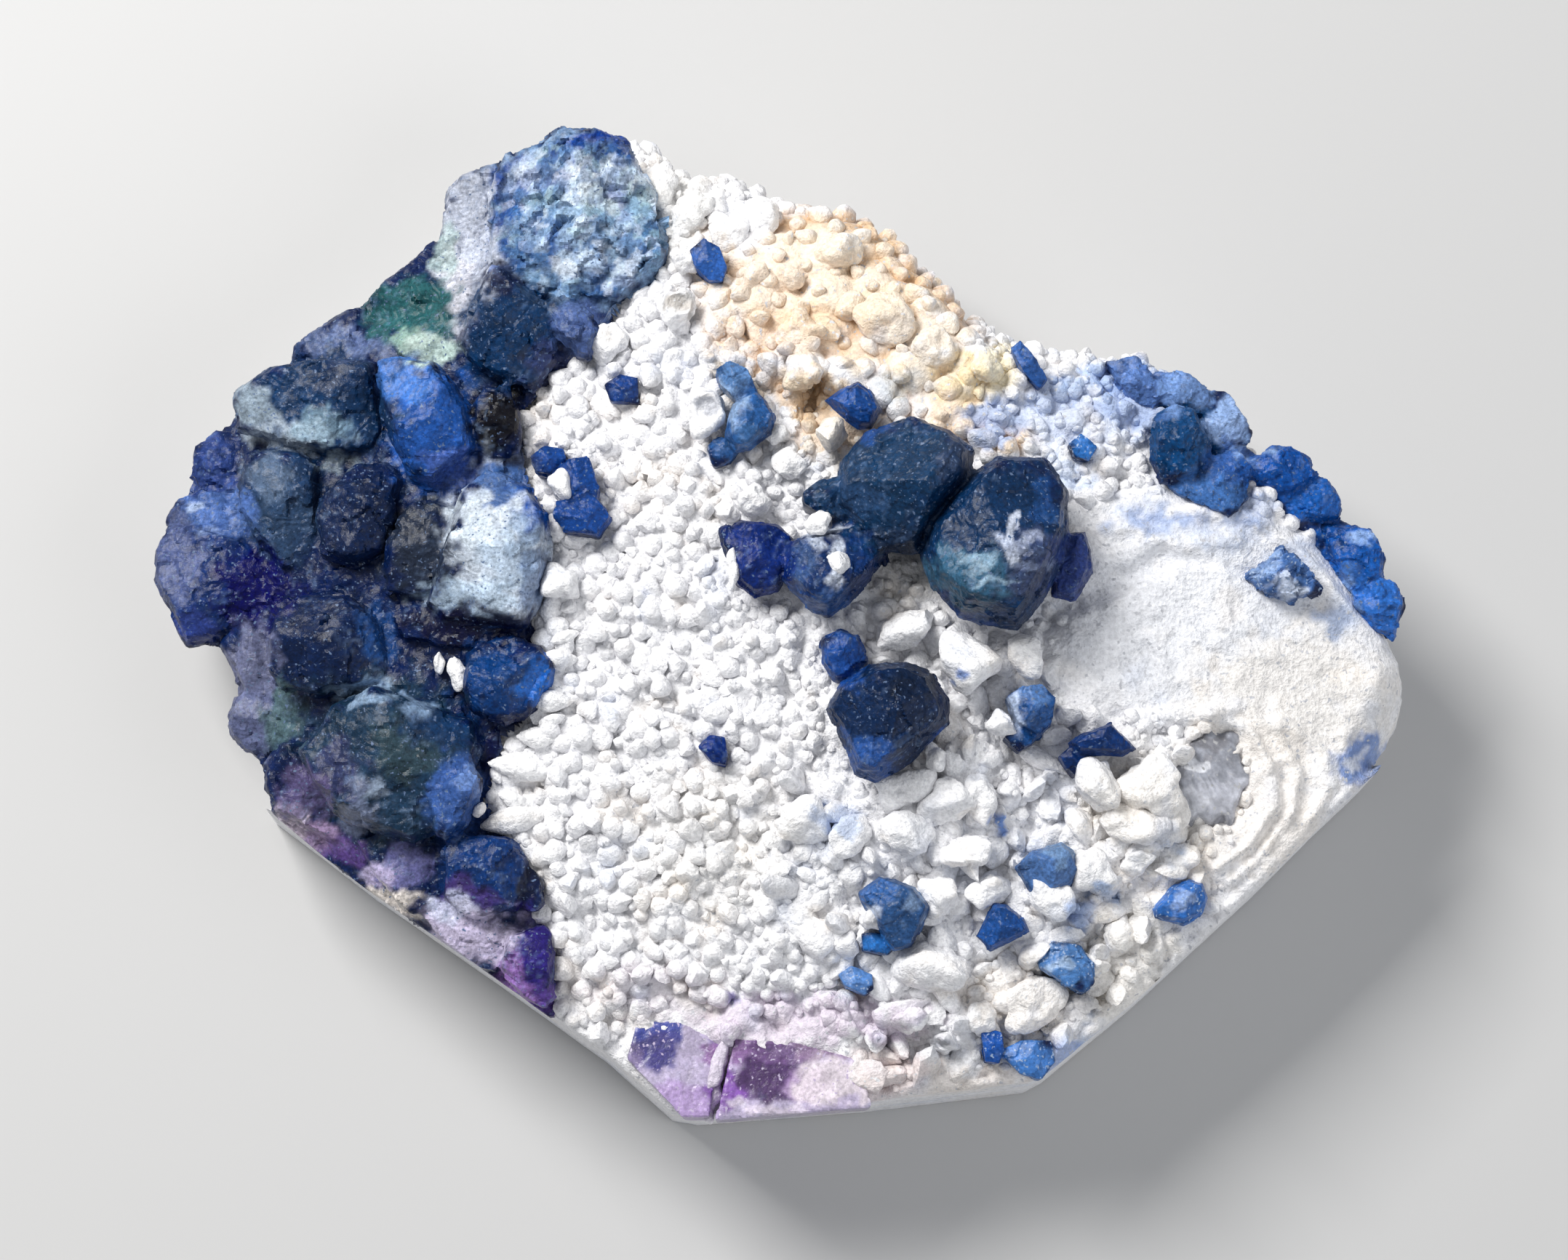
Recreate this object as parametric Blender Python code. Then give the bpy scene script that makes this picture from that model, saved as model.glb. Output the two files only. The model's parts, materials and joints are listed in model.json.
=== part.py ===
"""Blue fluorite in rounded crystals on a white quartz druse: a sawn hand specimen that lies on its sawn back.

Metres, +Z up. The crystal face looks up, the picture's right is +X and its top is +Y. The origin is
in the middle of the base. Lengths below are millimetres, and MM turns them into metres where a mesh
is made. Places are read from the picture of the specimen, in its pixels, and under() carries them to
the height where the piece lies."""

import math
import random
from collections import namedtuple

import bmesh
import bpy
from mathutils import Matrix, Vector
from mathutils.geometry import convex_hull_2d, delaunay_2d_cdt

MM = 0.001

# The picture: how big a pixel is at the height of the druse, and where it was taken from
PIXEL = 0.042
PICTURE_MIDDLE = (1077.0, 866.0)
VIEW_TILT = math.radians(8.0)
VIEW_DISTANCE = 250.0
VIEW_HEIGHT = 13.0
# Brings the middle of the specimen's box over the origin
ORIGIN_SHIFT = (0.03, -1.3)

# The rock: a low dome, highest under the two large crystals
DOME_TOP = 15.5
DOME_MIDDLE = (7.0, -2.3)
DOME_FALL_X = 0.0042
DOME_FALL_Y = 0.0060
NATURAL_EDGE_SHARE = 0.45
SHOULDER_INSET = 1.7
SHOULDER_DROP = 1.3
BASE_SHARE = 0.93
SAWN_FLARE = 0.35
SAWN_TOP_DROP = 0.4
OUTLINE_STEP = 2.2

# A crystal keeps this gap to the rock that it grew in
SEAT_GAP = 0.3
# A crystal's side faces lean in by these angles over and under its widest line, and three more meet at its
# peak. Those less tall than SMALL_CAP have straight sides
UPPER_LEAN = math.radians(16)
LOWER_LEAN = math.radians(24)
PEAK_FACES = 3
SMALL_CAP = 1.35
ROOT_DEPTH = 1.7
# Crystals of a crust stand in a bed of fluorite, this high and deep about the rock's face
BED_TOP = 0.35
BED_EDGE = -0.8
BED_DEPTH = 2.4
BED_SPACING = 4.6
BED_UNEVENNESS = 0.35

# The rock's outline in the picture, clockwise from the left end of the lower left saw cut
SAWN_LOWER_LEFT = [(380, 1133), (520, 1240), (700, 1365), (835, 1462), (925, 1542)]
SAWN_BOTTOM = [(960, 1548), (1180, 1531), (1405, 1504)]
SAWN_LOWER_RIGHT = [(1430, 1491), (1550, 1392), (1720, 1235), (1800, 1155), (1866, 1092)]
NATURAL_RIGHT = [(1888, 1066), (1906, 1032), (1927, 985), (1934, 950), (1930, 918), (1908, 878), (1880, 830),
                 (1852, 780), (1815, 730), (1768, 685), (1720, 635), (1680, 590), (1630, 545), (1575, 512)]
NATURAL_TOP = [(1520, 500), (1465, 492), (1430, 488), (1372, 478), (1340, 453), (1300, 405), (1262, 378),
               (1232, 345), (1200, 320), (1170, 304), (1110, 298), (1085, 294), (1060, 275), (1030, 262),
               (1000, 254), (967, 255), (945, 240), (922, 227), (900, 211), (868, 206)]
NATURAL_LEFT = [(835, 222), (780, 216), (735, 232), (690, 262), (655, 300), (640, 345), (615, 390),
                (560, 430), (480, 470), (420, 510), (372, 548), (335, 605), (300, 662), (268, 730),
                (260, 800), (285, 850), (325, 880), (350, 930), (348, 990), (376, 1050), (378, 1100)]

# Where the rock's face changes, as outlines in the picture
CHALK = [(1490, 705), (1600, 690), (1720, 722), (1800, 790), (1905, 880), (1934, 950), (1890, 1060),
         (1700, 1240), (1650, 1190), (1720, 1100), (1700, 1000), (1600, 985), (1480, 990), (1450, 900)]
STAINED = [(985, 330), (1080, 300), (1170, 300), (1340, 450), (1330, 560), (1390, 620), (1250, 575),
           (1190, 530), (1060, 510), (980, 430)]
BLOCKY = [(1230, 870), (1480, 900), (1480, 1000), (1620, 1010), (1660, 1180), (1560, 1380), (1420, 1500),
          (1180, 1520), (1150, 1360), (1060, 1180), (1080, 1060), (1250, 1060)]
COVERED = [(870, 200), (900, 380), (770, 520), (700, 620), (750, 700), (700, 860), (720, 960), (680, 1120),
           (760, 1300), (700, 1380), (370, 1130), (300, 900), (250, 750), (400, 500), (600, 300)]
VIOLET = [(850, 1455), (880, 1395), (1000, 1380), (1180, 1420), (1200, 1490), (1180, 1530), (930, 1545)]

Ground = namedtuple("Ground", "outline spacing rise")
# The first ground that holds a point is the point's own. Spacing is from one grain's tip to the next
GROUNDS = [
    Ground(COVERED, 3.6, 0.15),
    Ground(VIOLET, 2.6, 0.12),
    Ground(CHALK, 3.1, 0.16),
    Ground(STAINED, 2.3, 0.75),
    Ground(BLOCKY, 2.35, 0.85),
]
DRUSE_SPACING = 1.78
DRUSE_RISE = 0.55
VALLEY_SHARE = 0.45

Lump = namedtuple("Lump", "px py radius rise")
# White quartz lumps large enough to be known one by one
LUMPS = [
    Lump(1262, 1318, 1.5, 1.5), Lump(1305, 1335, 1.8, 1.9), Lump(1340, 1350, 1.3, 1.3),
    Lump(1245, 1158, 1.9, 1.5), Lump(1325, 1172, 1.8, 1.6), Lump(1232, 1078, 1.6, 1.2),
    Lump(1285, 1108, 1.7, 1.5), Lump(1345, 1092, 1.7, 1.3), Lump(1503, 1068, 1.7, 2.3),
    Lump(1568, 1075, 2.0, 2.1), Lump(1552, 1128, 2.0, 1.8), Lump(1440, 1240, 1.7, 2.2),
    Lump(1295, 1238, 1.6, 1.4), Lump(1362, 1218, 1.4, 1.3), Lump(1328, 918, 2.1, 2.0),
    Lump(1412, 905, 1.5, 1.3), Lump(1250, 868, 1.9, 1.2), Lump(1032, 688, 1.8, 1.8),
    Lump(1150, 600, 1.6, 1.7), Lump(1088, 645, 2.1, 1.5), Lump(972, 568, 1.5, 1.6),
    Lump(918, 412, 1.7, 1.2), Lump(1112, 518, 1.5, 1.4), Lump(768, 800, 1.7, 1.5),
    Lump(1215, 440, 2.4, 1.6), Lump(1100, 455, 2.1, 1.2), Lump(1150, 350, 2.3, 1.1),
    Lump(1035, 385, 1.7, 1.3), Lump(1010, 320, 1.8, 1.1), Lump(1440, 1390, 2.2, 1.5),
    Lump(1110, 1130, 1.9, 1.4), Lump(1028, 1118, 1.6, 1.3), Lump(968, 1150, 1.7, 1.2),
    Lump(1380, 1000, 1.5, 1.2), Lump(1270, 1420, 1.8, 1.1), Lump(940, 450, 1.5, 1.0),
]

Crystal = namedtuple("Crystal", "peak rise cap outline")
# Each crystal by its outline in the picture and its peak there. Rise is the height of its widest line
# over the rock, and cap the height of its peak over that line
CLUSTERS = {
    "left_fluorite_crust": [
        Crystal((797, 301), 0.6, 2.6, [(669, 369), (669, 288), (695, 224), (772, 192), (823, 185),
            (866, 201), (891, 254), (921, 305), (921, 361), (883, 399), (853, 420), (797, 412), (742, 416),
            (703, 378)]),
        Crystal((691, 425), 1.2, 2.4, [(674, 368), (695, 373), (729, 403), (759, 425), (767, 493),
            (733, 535), (682, 523), (639, 497), (627, 476), (652, 425)]),
        Crystal((793, 454), 0.9, 1.5, [(750, 420), (785, 412), (814, 433), (827, 459), (810, 497),
            (793, 493), (759, 459)]),
        Crystal((661, 301), -1.2, 1.4, [(610, 301), (618, 271), (644, 247), (695, 224), (676, 288),
            (669, 365), (648, 437), (631, 476), (601, 425), (605, 331)]),
        Crystal((597, 425), -1.2, 1.5, [(507, 416), (541, 395), (584, 369), (597, 335), (627, 343),
            (639, 416), (622, 476), (584, 489), (541, 476), (516, 450)]),
        Crystal((477, 476), -1.4, 1.4, [(413, 467), (465, 442), (507, 420), (524, 459), (524, 497),
            (456, 501), (401, 497)]),
        Crystal((593, 570), 1.4, 2.6, [(520, 501), (541, 495), (601, 501), (627, 527), (652, 561),
            (657, 621), (597, 672), (563, 659), (541, 621), (524, 570)]),
        Crystal((682, 570), 0.7, 1.4, [(652, 553), (665, 531), (703, 531), (718, 565), (716, 621),
            (691, 629), (661, 625), (648, 591)]),
        Crystal((456, 544), 0.5, 2.4, [(328, 548), (379, 510), (439, 493), (516, 497), (531, 544),
            (529, 591), (516, 621), (465, 634), (392, 621), (328, 599)]),
        Crystal((392, 672), 0.6, 2.0, [(328, 681), (337, 629), (362, 617), (413, 621), (443, 638),
            (443, 681), (435, 757), (413, 787), (388, 783), (345, 736), (328, 706)]),
        Crystal((499, 698), 1.0, 2.2, [(443, 681), (490, 638), (537, 634), (554, 659), (546, 710),
            (533, 757), (490, 779), (447, 766), (435, 715)]),
        Crystal((307, 642), -1.0, 1.3, [(264, 655), (277, 621), (311, 587), (337, 608), (337, 663),
            (328, 689), (285, 689)]),
        Crystal((294, 715), -1.0, 1.7, [(230, 723), (247, 689), (277, 672), (311, 676), (341, 710),
            (358, 753), (315, 770), (260, 766)]),
        Crystal((311, 793), -0.8, 2.2, [(219, 806), (219, 763), (234, 729), (285, 725), (341, 742),
            (388, 780), (398, 806), (388, 840), (362, 857), (328, 861), (298, 880), (260, 893),
            (243, 848)]),
        Crystal((584, 749), 0.7, 1.6, [(563, 693), (597, 685), (631, 702), (631, 757), (622, 800),
            (575, 826), (533, 817), (533, 757)]),
        Crystal((691, 753), 1.2, 2.8, [(627, 710), (635, 676), (669, 642), (699, 651), (729, 668),
            (755, 706), (759, 757), (742, 826), (725, 860), (678, 851), (610, 860), (584, 834),
            (601, 791)]),
        Crystal((635, 861), 0.1, 1.2, [(541, 848), (575, 835), (631, 831), (669, 831), (712, 848),
            (729, 870), (703, 887), (627, 891), (558, 882)]),
        Crystal((452, 882), 1.0, 2.4, [(371, 891), (383, 840), (422, 818), (473, 818), (516, 844),
            (537, 912), (529, 938), (490, 955), (439, 963), (388, 951), (371, 921)]),
        Crystal((691, 934), 0.3, 2.0, [(642, 904), (665, 882), (703, 874), (746, 891), (763, 912),
            (759, 942), (733, 972), (725, 993), (691, 1002), (652, 985), (639, 951)]),
        Crystal((584, 942), -0.4, 1.2, [(524, 929), (554, 891), (627, 891), (652, 942), (644, 993),
            (584, 1002), (529, 972)]),
        Crystal((541, 1036), 1.2, 3.0, [(413, 1036), (456, 972), (516, 944), (584, 963), (652, 985),
            (665, 1027), (652, 1070), (610, 1143), (571, 1164), (524, 1151), (477, 1134), (430, 1087)]),
        Crystal((635, 1087), 1.7, 1.8, [(588, 1104), (610, 1070), (652, 1045), (667, 1070), (665, 1096),
            (644, 1138), (614, 1164), (593, 1143)]),
        Crystal((349, 908), -1.2, 1.5, [(302, 887), (328, 857), (371, 848), (388, 908), (388, 976),
            (345, 976), (332, 942), (315, 912)]),
        Crystal((354, 989), -1.2, 1.4, [(312, 985), (324, 955), (345, 946), (383, 951), (401, 1002),
            (379, 1045), (337, 1036), (319, 1015)]),
        Crystal((422, 1079), -0.4, 1.8, [(366, 1053), (388, 1019), (439, 1019), (473, 1079), (499, 1143),
            (473, 1164), (422, 1147), (379, 1121), (364, 1087)]),
        Crystal((563, 1190), 0.0, 1.3, [(490, 1155), (550, 1138), (610, 1155), (627, 1190), (610, 1241),
            (567, 1258), (524, 1207)]),
        Crystal((669, 1190), 0.8, 2.0, [(605, 1168), (631, 1143), (665, 1147), (703, 1147), (729, 1177),
            (729, 1224), (712, 1254), (652, 1266), (610, 1241)]),
        Crystal((729, 1224), 0.2, 1.1, [(708, 1202), (729, 1190), (744, 1211), (748, 1241), (733, 1256),
            (708, 1241)]),
        Crystal((729, 1322), 0.5, 1.5, [(699, 1279), (750, 1271), (760, 1283), (761, 1335), (765, 1373),
            (750, 1388), (721, 1373), (686, 1335)]),
        Crystal((644, 1279), -0.2, 1.1, [(571, 1245), (627, 1237), (699, 1254), (708, 1283), (703, 1339),
            (661, 1330), (610, 1292)]),
    ],
    "centre_crystal_cluster": [
        Crystal((1272, 660), 2.4, 4.3, [(1156, 640), (1188, 596), (1252, 573), (1308, 592), (1345, 621),
            (1336, 672), (1300, 712), (1260, 762), (1212, 762), (1148, 696)]),
        Crystal((1384, 752), 2.6, 4.6, [(1336, 648), (1372, 628), (1436, 632), (1454, 668), (1470, 680),
            (1471, 736), (1460, 776), (1440, 820), (1400, 869), (1364, 864), (1316, 852), (1276, 808),
            (1264, 768), (1272, 720)]),
        Crystal((1476, 776), 1.6, 1.8, [(1464, 732), (1492, 732), (1501, 756), (1501, 788), (1476, 825),
            (1446, 820), (1446, 776)]),
        Crystal((1140, 784), 2.0, 2.8, [(1140, 736), (1180, 720), (1216, 732), (1222, 760), (1196, 800),
            (1164, 832), (1140, 850), (1108, 836), (1076, 800), (1078, 752), (1108, 736)]),
        Crystal((1044, 764), 1.4, 2.0, [(990, 728), (1020, 716), (1068, 724), (1090, 740), (1086, 784),
            (1072, 814), (1038, 824), (1012, 808), (990, 748)]),
        Crystal((1136, 684), 2.2, 1.3, [(1106, 680), (1124, 666), (1156, 660), (1172, 688), (1160, 716),
            (1132, 708), (1108, 694)]),
        Crystal((1176, 740), 1.2, 1.8, [(1136, 720), (1156, 704), (1212, 736), (1228, 776), (1196, 784),
            (1156, 760)]),
    ],
    "lower_crystal_cluster": [
        Crystal((1236, 964), 2.0, 3.6, [(1134, 976), (1156, 940), (1196, 914), (1244, 907), (1284, 924),
            (1305, 960), (1306, 996), (1280, 1018), (1252, 1050), (1204, 1075), (1176, 1066),
            (1156, 1020)]),
        Crystal((1158, 896), 1.2, 1.6, [(1129, 880), (1156, 865), (1182, 874), (1195, 912), (1180, 934),
            (1148, 938), (1130, 912)]),
        Crystal((1320, 1036), 0.7, 1.5, [(1300, 1012), (1324, 1000), (1338, 1012), (1345, 1048),
            (1326, 1077), (1296, 1079), (1270, 1066), (1284, 1040)]),
    ],
    "upper_crystal_cluster": [
        Crystal((1014, 522), 1.2, 1.3, [(982, 510), (1004, 499), (1030, 510), (1042, 540), (1038, 560),
            (1012, 552), (986, 530)]),
        Crystal((1028, 580), 1.4, 1.6, [(1006, 556), (1038, 540), (1054, 552), (1066, 572), (1060, 596),
            (1032, 618), (1012, 622), (996, 606), (1000, 576)]),
        Crystal((990, 620), 0.5, 0.9, [(973, 614), (988, 602), (1016, 616), (1004, 634), (982, 642)]),
    ],
    "upper_right_crystal": [
        Crystal((1176, 552), 1.4, 1.6, [(1133, 552), (1156, 536), (1180, 526), (1198, 540), (1213, 564),
            (1198, 590), (1180, 590), (1156, 572)]),
    ],
    "druse_small_crystal": [
        Crystal((980, 1030), 0.3, 0.9, [(961, 1028), (976, 1012), (996, 1014), (1000, 1040), (998, 1053),
            (980, 1050)]),
    ],
    "right_crystal_pair": [
        Crystal((1424, 968), 1.2, 1.3, [(1385, 958), (1404, 946), (1432, 941), (1451, 960), (1445, 996),
            (1428, 1012), (1400, 996)]),
        Crystal((1404, 1012), 0.6, 1.0, [(1380, 1016), (1396, 996), (1420, 992), (1432, 1004), (1416, 1024),
            (1400, 1033)]),
    ],
    "angular_crystal_pair": [
        Crystal((1517, 1013), 1.5, 1.5, [(1467, 1022), (1483, 1007), (1528, 990), (1538, 1007),
            (1564, 1031), (1544, 1043), (1509, 1039), (1479, 1039)]),
        Crystal((1475, 1041), 0.9, 1.1, [(1456, 1041), (1471, 1028), (1498, 1030), (1494, 1049),
            (1477, 1068), (1466, 1058)]),
    ],
    "triangular_crystal": [
        Crystal((1445, 1186), 1.1, 1.6, [(1395, 1193), (1418, 1170), (1460, 1158), (1476, 1170),
            (1483, 1197), (1471, 1218), (1445, 1231), (1416, 1227)]),
    ],
    "lower_crystal_pair": [
        Crystal((1236, 1243), 1.3, 1.8, [(1180, 1229), (1209, 1204), (1232, 1206), (1259, 1218),
            (1280, 1246), (1270, 1277), (1255, 1305), (1228, 1311), (1205, 1277)]),
        Crystal((1205, 1298), 0.7, 0.8, [(1184, 1284), (1205, 1284), (1232, 1288), (1232, 1303),
            (1221, 1314), (1186, 1308)]),
    ],
    "lower_small_crystal": [
        Crystal((1380, 1273), 0.9, 1.4, [(1340, 1288), (1355, 1269), (1365, 1242), (1384, 1244),
            (1403, 1258), (1416, 1282), (1392, 1294), (1361, 1310)]),
    ],
    "pale_blue_crystal": [
        Crystal((1468, 1326), 0.8, 1.3, [(1422, 1303), (1449, 1297), (1483, 1303), (1500, 1326),
            (1501, 1353), (1487, 1365), (1456, 1349), (1433, 1330)]),
    ],
    "edge_round_crystal": [
        Crystal((1627, 1241), 0.7, 1.5, [(1585, 1250), (1612, 1216), (1635, 1208), (1655, 1214),
            (1661, 1235), (1650, 1262), (1627, 1275), (1589, 1262)]),
    ],
    "pale_blue_small_crystal": [
        Crystal((1177, 1349), 0.4, 0.8, [(1153, 1341), (1171, 1329), (1199, 1341), (1200, 1361),
            (1190, 1369), (1164, 1358)]),
    ],
    "bottom_crystal_pair": [
        Crystal((1365, 1436), 0.5, 0.8, [(1349, 1421), (1361, 1417), (1376, 1421), (1378, 1444),
            (1373, 1463), (1354, 1461)]),
        Crystal((1418, 1455), 0.5, 1.1, [(1373, 1448), (1403, 1433), (1445, 1431), (1450, 1459),
            (1430, 1484), (1403, 1478)]),
    ],
    "right_rim_crust": [
        Crystal((1560, 524), -0.3, 1.3, [(1519, 499), (1560, 494), (1574, 510), (1600, 535), (1587, 568),
            (1565, 559), (1538, 528)]),
        Crystal((1626, 541), -0.4, 1.2, [(1587, 513), (1622, 513), (1662, 539), (1666, 568), (1635, 576),
            (1587, 559)]),
        Crystal((1626, 603), 0.8, 2.0, [(1579, 603), (1587, 574), (1613, 557), (1644, 565), (1668, 607),
            (1664, 638), (1640, 662), (1596, 667), (1580, 634)]),
        Crystal((1684, 581), -0.6, 1.3, [(1653, 541), (1684, 541), (1703, 568), (1719, 598), (1706, 629),
            (1670, 625), (1653, 581)]),
        Crystal((1666, 678), 0.2, 1.0, [(1596, 662), (1653, 651), (1697, 651), (1717, 686), (1688, 711),
            (1662, 702), (1618, 682)]),
        Crystal((1688, 647), 0.3, 1.2, [(1662, 629), (1697, 620), (1723, 647), (1714, 678), (1679, 673),
            (1662, 656)]),
        Crystal((1763, 642), -0.5, 1.7, [(1708, 638), (1745, 615), (1778, 615), (1802, 634), (1810, 656),
            (1789, 680), (1754, 682), (1719, 669)]),
        Crystal((1813, 686), -0.8, 1.4, [(1769, 686), (1802, 655), (1824, 659), (1843, 691), (1840, 713),
            (1811, 722), (1780, 708)]),
        Crystal((1868, 766), -0.7, 1.5, [(1822, 722), (1838, 726), (1864, 724), (1884, 730), (1901, 766),
            (1901, 796), (1864, 818), (1838, 792), (1820, 748)]),
        Crystal((1899, 827), -0.9, 1.5, [(1855, 814), (1895, 788), (1921, 805), (1928, 836), (1915, 882),
            (1890, 867), (1860, 836)]),
    ],
    "frosted_blue_crystal": [
        Crystal((1763, 788), 0.3, 1.4, [(1717, 788), (1741, 766), (1763, 748), (1791, 779), (1813, 814),
            (1776, 828), (1739, 822)]),
    ],
    "right_small_crystal": [
        Crystal((1489, 616), 0.3, 0.7, [(1469, 612), (1486, 598), (1508, 616), (1497, 634), (1478, 630)]),
    ],
    "top_edge_crystal": [
        Crystal((1415, 502), 0.4, 0.9, [(1388, 480), (1402, 469), (1424, 497), (1439, 521), (1429, 536),
            (1406, 515)]),
    ],
    "square_small_crystal": [
        Crystal((857, 535), 0.4, 0.6, [(831, 531), (853, 516), (878, 521), (879, 555), (840, 553)]),
    ],
    "ring_crystal_cluster": [
        Crystal((755, 631), 0.8, 0.9, [(729, 629), (750, 614), (776, 616), (780, 634), (767, 655),
            (738, 651)]),
        Crystal((797, 666), 0.9, 1.2, [(772, 642), (808, 631), (825, 672), (819, 698), (785, 702),
            (767, 672)]),
        Crystal((802, 713), 0.8, 1.2, [(767, 693), (823, 689), (840, 710), (823, 736), (776, 734),
            (763, 715)]),
    ],
    "top_small_crystal": [
        Crystal((974, 358), 0.7, 1.0, [(949, 348), (968, 333), (989, 343), (1000, 369), (994, 388),
            (974, 386), (955, 369)]),
    ],
}

# The beds' outlines in the picture
BEDS = {
    "left_fluorite_crust": [(866, 203), (800, 190), (730, 208), (672, 240), (625, 272), (608, 330), (575, 380),
                            (520, 402), (440, 455), (390, 500), (345, 530), (300, 600), (262, 665), (232, 730),
                            (232, 820), (262, 872), (312, 888), (322, 940), (322, 1010), (360, 1050),
                            (372, 1115), (520, 1240), (640, 1322), (760, 1400), (768, 1330), (752, 1270),
                            (740, 1200), (700, 1150), (672, 1100), (700, 1010), (742, 970), (755, 890),
                            (730, 855), (760, 780), (752, 700), (725, 650), (718, 570), (760, 520),
                            (815, 480), (850, 425), (915, 360), (905, 290), (880, 235)],
    "right_rim_crust": [(1530, 505), (1600, 518), (1660, 545), (1705, 600), (1740, 625), (1795, 640),
                        (1835, 700), (1890, 745), (1912, 810), (1915, 870), (1890, 862), (1850, 800),
                        (1800, 735), (1740, 695), (1690, 700), (1605, 665), (1580, 600), (1545, 545)],
}

Block = namedtuple("Block", "corners rise depth")
# Violet fluorite split along its cleavage, with one side flush with the sawn edge
BLOCKS = {
    "violet_block_left": Block([(862, 1456), (876, 1402), (930, 1404), (990, 1432), (974, 1536), (940, 1536)],
                               0.5, 6.0),
    "violet_block_right": Block([(1010, 1428), (1090, 1432), (1188, 1458), (1196, 1522), (985, 1540)],
                                0.7, 6.0),
}

# Colour, roughness for the plain materials of the nodes
LOOKS = {
    "quartz": ((0.80, 0.79, 0.77), 0.85),
    "fluorite": ((0.03, 0.07, 0.22), 0.45),
    "pale_fluorite": ((0.14, 0.27, 0.58), 0.40),
    "violet_fluorite": ((0.33, 0.20, 0.48), 0.35),
}
PALE_NODES = {"edge_round_crystal", "pale_blue_crystal", "pale_blue_small_crystal", "bottom_crystal_pair",
              "right_small_crystal", "frosted_blue_crystal"}


def under(px, py, height):
    """Where the thing that shows at a pixel lies, in millimetres, if it is at this height."""
    across = (px - PICTURE_MIDDLE[0]) * PIXEL
    up = (PICTURE_MIDDLE[1] - py) * PIXEL
    rise = height - VIEW_HEIGHT
    sine, cosine = math.sin(VIEW_TILT), math.cos(VIEW_TILT)
    y = (up * (VIEW_DISTANCE - rise * cosine) - VIEW_DISTANCE * rise * sine) / (VIEW_DISTANCE * cosine - up * sine)
    x = across * (VIEW_DISTANCE + y * sine - rise * cosine) / VIEW_DISTANCE
    return x + ORIGIN_SHIFT[0], y + ORIGIN_SHIFT[1]


def shows_at(x, y, height):
    """The pixel at which a point shows: under() the other way round."""
    x, y, rise = x - ORIGIN_SHIFT[0], y - ORIGIN_SHIFT[1], height - VIEW_HEIGHT
    sine, cosine = math.sin(VIEW_TILT), math.cos(VIEW_TILT)
    scale = VIEW_DISTANCE / (VIEW_DISTANCE + y * sine - rise * cosine)
    return (PICTURE_MIDDLE[0] + x * scale / PIXEL,
            PICTURE_MIDDLE[1] - (y * cosine + rise * sine) * scale / PIXEL)


def rock_height(x, y):
    """Height of the rock's face, before its grains."""
    return (DOME_TOP - DOME_FALL_X * (x - DOME_MIDDLE[0]) ** 2
            - DOME_FALL_Y * (y - DOME_MIDDLE[1]) ** 2)


def on_rock(px, py, lift=0.0):
    """The point, lift over the rock's face, that shows at a pixel."""
    height = DOME_TOP
    for _ in range(4):
        x, y = under(px, py, height)
        height = rock_height(x, y) + lift
    return Vector((x, y, height))


def holds(outline, x, y):
    """True if the point lies inside the outline."""
    inside = False
    for (ax, ay), (bx, by) in zip(outline, outline[1:] + outline[:1]):
        if (ay > y) != (by > y) and x < ax + (y - ay) / (by - ay) * (bx - ax):
            inside = not inside
    return inside


def to_edge(outline, x, y):
    """Distance from the point to the nearest side of the outline."""
    nearest = math.inf
    for (ax, ay), (bx, by) in zip(outline, outline[1:] + outline[:1]):
        run_x, run_y = bx - ax, by - ay
        share = ((x - ax) * run_x + (y - ay) * run_y) / (run_x * run_x + run_y * run_y)
        share = min(1.0, max(0.0, share))
        nearest = min(nearest, math.hypot(x - ax - share * run_x, y - ay - share * run_y))
    return nearest


def ground_at(x, y):
    """(spacing, rise) of the grains at a point."""
    px, py = shows_at(x, y, rock_height(x, y))
    for ground in GROUNDS:
        if holds(ground.outline, px, py):
            return ground.spacing, ground.rise
    return DRUSE_SPACING, DRUSE_RISE


def walk(corners, step):
    """Points a step apart along a closed line of corners, each with whether both its corners carry the mark."""
    points = []
    for (ax, ay, a_mark), (bx, by, b_mark) in zip(corners, corners[1:] + corners[:1]):
        steps = max(1, round(math.hypot(bx - ax, by - ay) / step))
        for part in range(steps):
            share = part / steps
            points.append((ax + share * (bx - ax), ay + share * (by - ay), a_mark and (b_mark or part == 0)))
    return points


def outward_at(points, index):
    """Outward normal of an anticlockwise closed line at one of its points."""
    before, after = points[index - 1], points[(index + 1) % len(points)]
    run = Vector((after[0] - before[0], after[1] - before[1])).normalized()
    return Vector((run.y, -run.x))


def rock_outline():
    """The rock's widest line as (x, y, sawn) points, anticlockwise: the foot of a sawn side, or a natural
    side's belly."""
    corners = [(*under(px, py, 0.0), True) for px, py in SAWN_LOWER_LEFT + SAWN_BOTTOM + SAWN_LOWER_RIGHT]
    for px, py in NATURAL_RIGHT + NATURAL_TOP + NATURAL_LEFT:
        height = on_rock(px, py).z
        corners.append((*under(px, py, height * NATURAL_EDGE_SHARE), False))
    return walk(corners, OUTLINE_STEP)


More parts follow.
